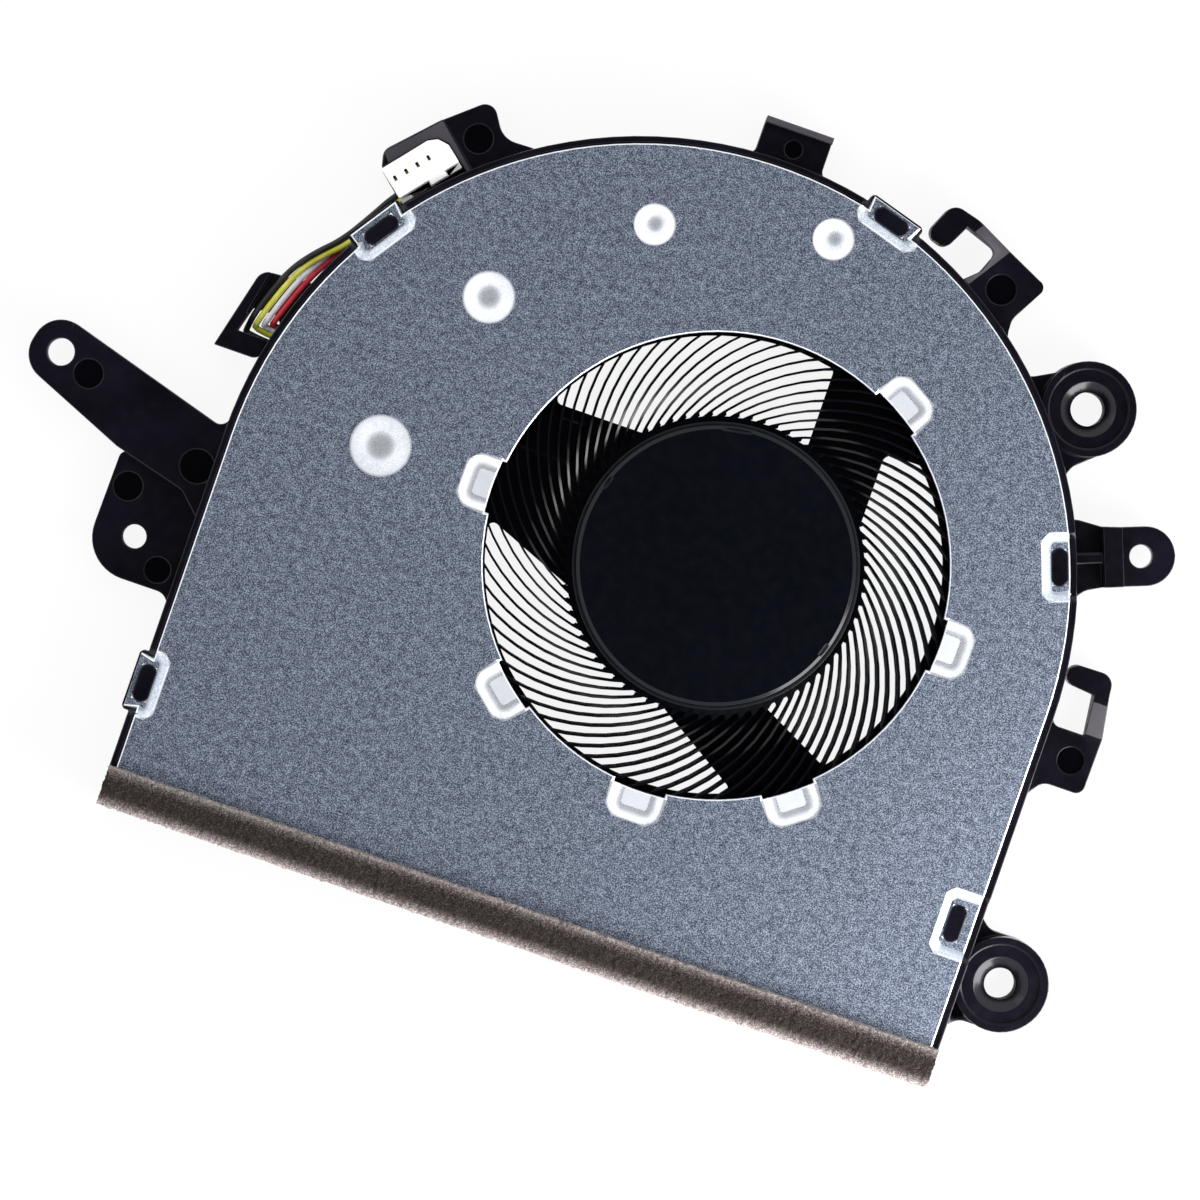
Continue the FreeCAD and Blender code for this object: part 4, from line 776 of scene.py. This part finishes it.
def spun_ring(name, inner, outer, bottom, top, steps=ROUND_STEPS, sweep=math.tau):
    """A ring of rectangular section about the rotor's axis, or a part of one."""
    middle = Vector(((inner + outer) / 2, 0, (bottom + top) / 2))
    made = upright_plane(name, middle, 0, outer - inner, top - bottom)
    bpy.ops.object.mode_set(mode="EDIT")
    bpy.ops.mesh.select_all(action="SELECT")
    bpy.ops.mesh.spin(steps=steps, angle=-sweep, center=(0, 0, 0), axis=(0, 0, 1))
    if sweep == math.tau:
        bpy.ops.mesh.select_all(action="SELECT")
        bpy.ops.mesh.remove_doubles(threshold=CORNER_GAP * MM)
        bpy.ops.mesh.select_interior_faces()
        bpy.ops.mesh.delete(type="FACE")
    bpy.ops.mesh.select_all(action="SELECT")
    bpy.ops.mesh.normals_make_consistent(inside=False)
    bpy.ops.object.mode_set(mode="OBJECT")
    return made


def pick_faces(piece, wanted):
    """Opens the piece in edit mode with the faces selected for which wanted(face) holds."""
    select_only(piece)
    bpy.ops.object.mode_set(mode="EDIT")
    bpy.ops.mesh.select_mode(type="FACE")
    bpy.ops.mesh.select_all(action="DESELECT")
    skin = bmesh.from_edit_mesh(piece.data)
    for face in skin.faces:
        if wanted(face):
            face.select_set(True)
    bmesh.update_edit_mesh(piece.data)


def round_edges(piece, width):
    """Rounds every sharp edge of the piece, where there is room."""
    rounding = piece.modifiers.new("rounding", "BEVEL")
    rounding.width = width * MM
    rounding.segments = EDGE_STEPS
    rounding.limit_method = "ANGLE"
    rounding.angle_limit = math.radians(SHARP)
    rounding.use_clamp_overlap = True
    rounding.harden_normals = False
    apply_all(piece)


arc_middle = Vector((math.cos(BLADE_PHASE), math.sin(BLADE_PHASE), 0)) * BLADE_ARC_OFFSET
stretch_ends = (BLADE_ROOT, BLADE_SWELL, BLADE_BEND, BLADE_TIP)
headings = [math.atan2(*(on_blade(radius) - arc_middle).yx) for radius in stretch_ends]
middle = on_blade(BLADE_ROOT) + Vector((0, 0, (BLADE_BOTTOM + BLADE_TOP) / 2))
blade = upright_plane("blade", middle, headings[0], BLADE_THICKNESS, BLADE_TOP - BLADE_BOTTOM)
bpy.ops.object.mode_set(mode="EDIT")
bpy.ops.mesh.select_all(action="SELECT")
for steps, start, end in zip(STRETCH_STEPS, headings, headings[1:]):
    bpy.ops.mesh.spin(steps=steps, angle=start - end, center=arc_middle * MM, axis=(0, 0, 1))
bpy.ops.mesh.select_all(action="SELECT")
bpy.ops.mesh.normals_make_consistent(inside=False)
bpy.ops.object.mode_set(mode="OBJECT")
for corner in blade.data.vertices:
    place = corner.co / MM
    reach = place.xy.length
    if place.z > BLADE_BOTTOM + UPPER_CORNERS and reach < BLADE_FULL:
        fall = (BLADE_FULL - reach) / (BLADE_FULL - FOOT_RING[1])
        corner.co.z = (BLADE_TOP - fall * (BLADE_TOP - FOOT_RING[3] + ROOT_SINK)) * MM
    outwards = place.xy - arc_middle.xy
    side = math.copysign(1, outwards.length - BLADE_ARC)
    swells_from = SLOT_END - side * SLOT_END_RADIUS * math.sin(ROOT_LEAN)
    gone = min(max((swells_from - reach) / (SLOT_END_RADIUS * math.cos(ROOT_LEAN)), 0), 1)
    side *= BLADE_THICKNESS / 2 + SLOT_END_RADIUS * (1 - math.sqrt(1 - gone**2))
    corner.co.xy = (arc_middle.xy + outwards.normalized() * (BLADE_ARC + side)) * MM

bpy.ops.object.select_all(action="DESELECT")
bpy.ops.mesh.primitive_cylinder_add(vertices=ROUND_STEPS, radius=HUB_RADIUS * MM,
                                    depth=(HUB_TOP - HUB_STEP - BLADE_BOTTOM) * MM)
hub = bpy.context.object
hub.name = "impeller_moulding"
hub.location.z = (HUB_TOP - HUB_STEP + BLADE_BOTTOM) / 2 * MM
bpy.ops.object.transform_apply(location=True, rotation=True, scale=True)
pick_faces(hub, lambda face: face.normal.z < -CAP_FACES_UP)
bpy.ops.mesh.delete(type="FACE")
bpy.ops.object.mode_set(mode="OBJECT")
pick_faces(hub, lambda face: face.normal.z > CAP_FACES_UP)
bpy.ops.mesh.inset(thickness=HUB_RIM * MM, depth=0)
bpy.ops.mesh.inset(thickness=HUB_STEP_RUN * MM, depth=HUB_STEP * MM)
bpy.ops.object.mode_set(mode="OBJECT")
wall = hub.modifiers.new("skin", "SOLIDIFY")
wall.thickness = HUB_SKIN * MM
wall.offset = -1
apply_all(hub)
for heading, width in NOTCHES:
    turn_by = math.radians(heading)
    spot = Vector((NOTCH_RADIUS * math.cos(turn_by), NOTCH_RADIUS * math.sin(turn_by), HUB_TOP))
    bpy.ops.object.select_all(action="DESELECT")
    bpy.ops.mesh.primitive_cube_add(size=1.0, rotation=(0, 0, turn_by), location=spot * MM)
    chisel = bpy.context.object
    chisel.scale = (NOTCH_REACH * MM, width * MM, 2 * NOTCH_DEPTH * MM)
    cut_away(hub, chisel)
round_edges(hub, HUB_EDGE)
shade(hub)
rings = [spun_ring("foot_ring", *FOOT_RING), spun_ring("tip_hoop", *TIP_HOOP)]
for ring in rings:
    round_edges(ring, RING_EDGE)
    shade(ring)
blades = []
for i in range(BLADE_COUNT):
    copy = bpy.data.objects.new(f"blade_{i}", blade.data.copy())
    copy.data.transform(Matrix.Rotation(math.tau * i / BLADE_COUNT, 4, "Z"))
    bpy.context.scene.collection.objects.link(copy)
    blades.append(copy)
bpy.data.objects.remove(blade)
fan_wheel = joined(blades)
shade(fan_wheel, BLADE_SHADING)
joined([hub, *rings, fan_wheel])
dress(hub, black_moulding("matt_rotor_plastic", (0.0008, 0.0012, 0.0028), (0.0012, 0.0016, 0.0036),
                          rough=0.22, texture=0.0012, specular=0.28))
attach(hub, "rotor")
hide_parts("impeller")


# Connector. The housing of the leads' plug, moulded in white nylon, with four windows over the
# crimped contacts. It is pressed into the frame's bracket.
CONNECTOR_EDGE = 0.12
white_nylon, tree, shader = material("white_nylon", (0.86, 0.85, 0.83), roughness=0.45)
shader.inputs["Subsurface Weight"].default_value = 0.1
shader.inputs["Subsurface Scale"].default_value = 0.5 * MM
clouding = ramp(tree, grain(tree, size=2.5), ((0.4, (0.82, 0.81, 0.79)), (0.6, (0.9, 0.89, 0.88))))
tree.links.new(clouding, shader.inputs["Base Color"])
bump(tree, shader, grain(tree, size=0.15), depth=0.006)
plug = merged_copy("connector_housing", "connector_moulding")
round_edges(plug, CONNECTOR_EDGE)
shade(plug)
dress(plug, white_nylon)
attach(plug, "housing")
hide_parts("connector_housing")


# Motor. What is inside the hub: the rotor's plated yoke, bonded magnet and pin, and the laminations
# and copper coils round the brass tube. Below them is the board, with black tape over the tab where
# the leads are soldered.
def worked_metal(name, colour, rough, size, stretch=(1, 1, 1), depth=0.004):
    """Metal whose tool marks are this size in millimetres, drawn out by stretch."""
    made, tree, shader = material(name, colour, rough, metallic=1.0)
    marks = grain(tree, size, detail=3.0, stretch=stretch)
    dark = tuple(channel * 0.8 for channel in colour)
    tree.links.new(ramp(tree, marks, ((0.35, dark), (0.65, colour))), shader.inputs["Base Color"])
    tree.links.new(spread(tree, marks, rough - 0.06, rough + 0.1), shader.inputs["Roughness"])
    bump(tree, shader, marks, depth)
    return made


def mottled(name, dark, light, rough, size):
    """A plain body colour with mottling of this size in millimetres."""
    made, tree, shader = material(name, light, rough)
    spots = grain(tree, size, detail=3.0)
    tree.links.new(ramp(tree, spots, ((0.35, dark), (0.65, light))), shader.inputs["Base Color"])
    tree.links.new(spread(tree, spots, rough - 0.06, rough + 0.06), shader.inputs["Roughness"])
    bump(tree, shader, spots, depth=0.006)
    return made


# How far the marks on turned, stacked and wound metal are drawn out.
TURNED = (1, 1, 12)
STACKED = (1, 1, 25)
WOUND = (1, 1, 4)
# Each finish: its name, its colour or two shades, its roughness and the size of its marks.
INSIDE = {
    "rotor_yoke": worked_metal("plated_yoke", (0.6, 0.6, 0.62), 0.32, 0.6, TURNED),
    "ring_magnet": mottled("bonded_ferrite", (0.03, 0.03, 0.032), (0.07, 0.07, 0.072), 0.6, 0.12),
    "shaft": worked_metal("ground_pin", (0.72, 0.72, 0.74), 0.18, 0.8, TURNED, depth=0.001),
    "retaining_ring": mottled("white_washer", (0.7, 0.7, 0.66), (0.82, 0.82, 0.78), 0.4, 0.3),
    "thrust_plate": mottled("thrust_disc", (0.6, 0.58, 0.5), (0.75, 0.72, 0.62), 0.35, 0.3),
    "oil_seal": mottled("seal_film", (0.6, 0.6, 0.55), (0.8, 0.8, 0.74), 0.4, 0.3),
    "bearing_tube": worked_metal("turned_brass", (0.78, 0.6, 0.3), 0.28, 0.6, TURNED),
    "sleeve_bearing": worked_metal("sintered_bronze", (0.52, 0.36, 0.22), 0.5, 0.08, depth=0.01),
    "stator_core": worked_metal("stamped_laminations", (0.5, 0.5, 0.52), 0.42, 1.2, STACKED),
    "insulator_lower": mottled("insulator_nylon", (0.7, 0.7, 0.66), (0.84, 0.84, 0.8), 0.45, 1.0),
    "insulator_upper": mottled("insulator_cap_nylon", (0.7, 0.7, 0.66), (0.84, 0.84, 0.8), 0.45, 1.0),
    "driver_board": mottled("solder_mask", (0.012, 0.08, 0.045), (0.03, 0.15, 0.085), 0.3, 0.8),
    "driver_chip": mottled("chip_epoxy", (0.01, 0.01, 0.011), (0.025, 0.025, 0.027), 0.5, 0.1),
    "board_capacitors": mottled("fired_ceramic", (0.38, 0.26, 0.15), (0.52, 0.38, 0.24), 0.4, 0.3),
    "solder_joints": worked_metal("solder", (0.72, 0.72, 0.74), 0.25, 0.3),
    "connector_contacts": worked_metal("plated_contacts", (0.78, 0.64, 0.36), 0.25, 0.4),
}
for node, finish in INSIDE.items():
    dress(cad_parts[node], finish)
TAPE_SECTION = (13.0, 16.3, 0.96, 1.01)
TAPE_FROM = math.radians(147.5)
TAPE_SWEEP = math.radians(43)
TAPE_STEPS = 24
tape = spun_ring("board_tape", *TAPE_SECTION, steps=TAPE_STEPS, sweep=TAPE_SWEEP)
tape.data.transform(Matrix.Rotation(TAPE_FROM, 4, "Z"))
dress(tape, black_moulding("black_film", (0.0015, 0.0015, 0.002), (0.003, 0.003, 0.004),
                           rough=0.35, texture=0.001))
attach(tape, "housing")
enamel = worked_metal("enamelled_copper", (0.62, 0.24, 0.09), 0.3, 0.12, WOUND, depth=0.02)
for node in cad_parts:
    if node.startswith("coil_"):
        dress(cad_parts[node], enamel)
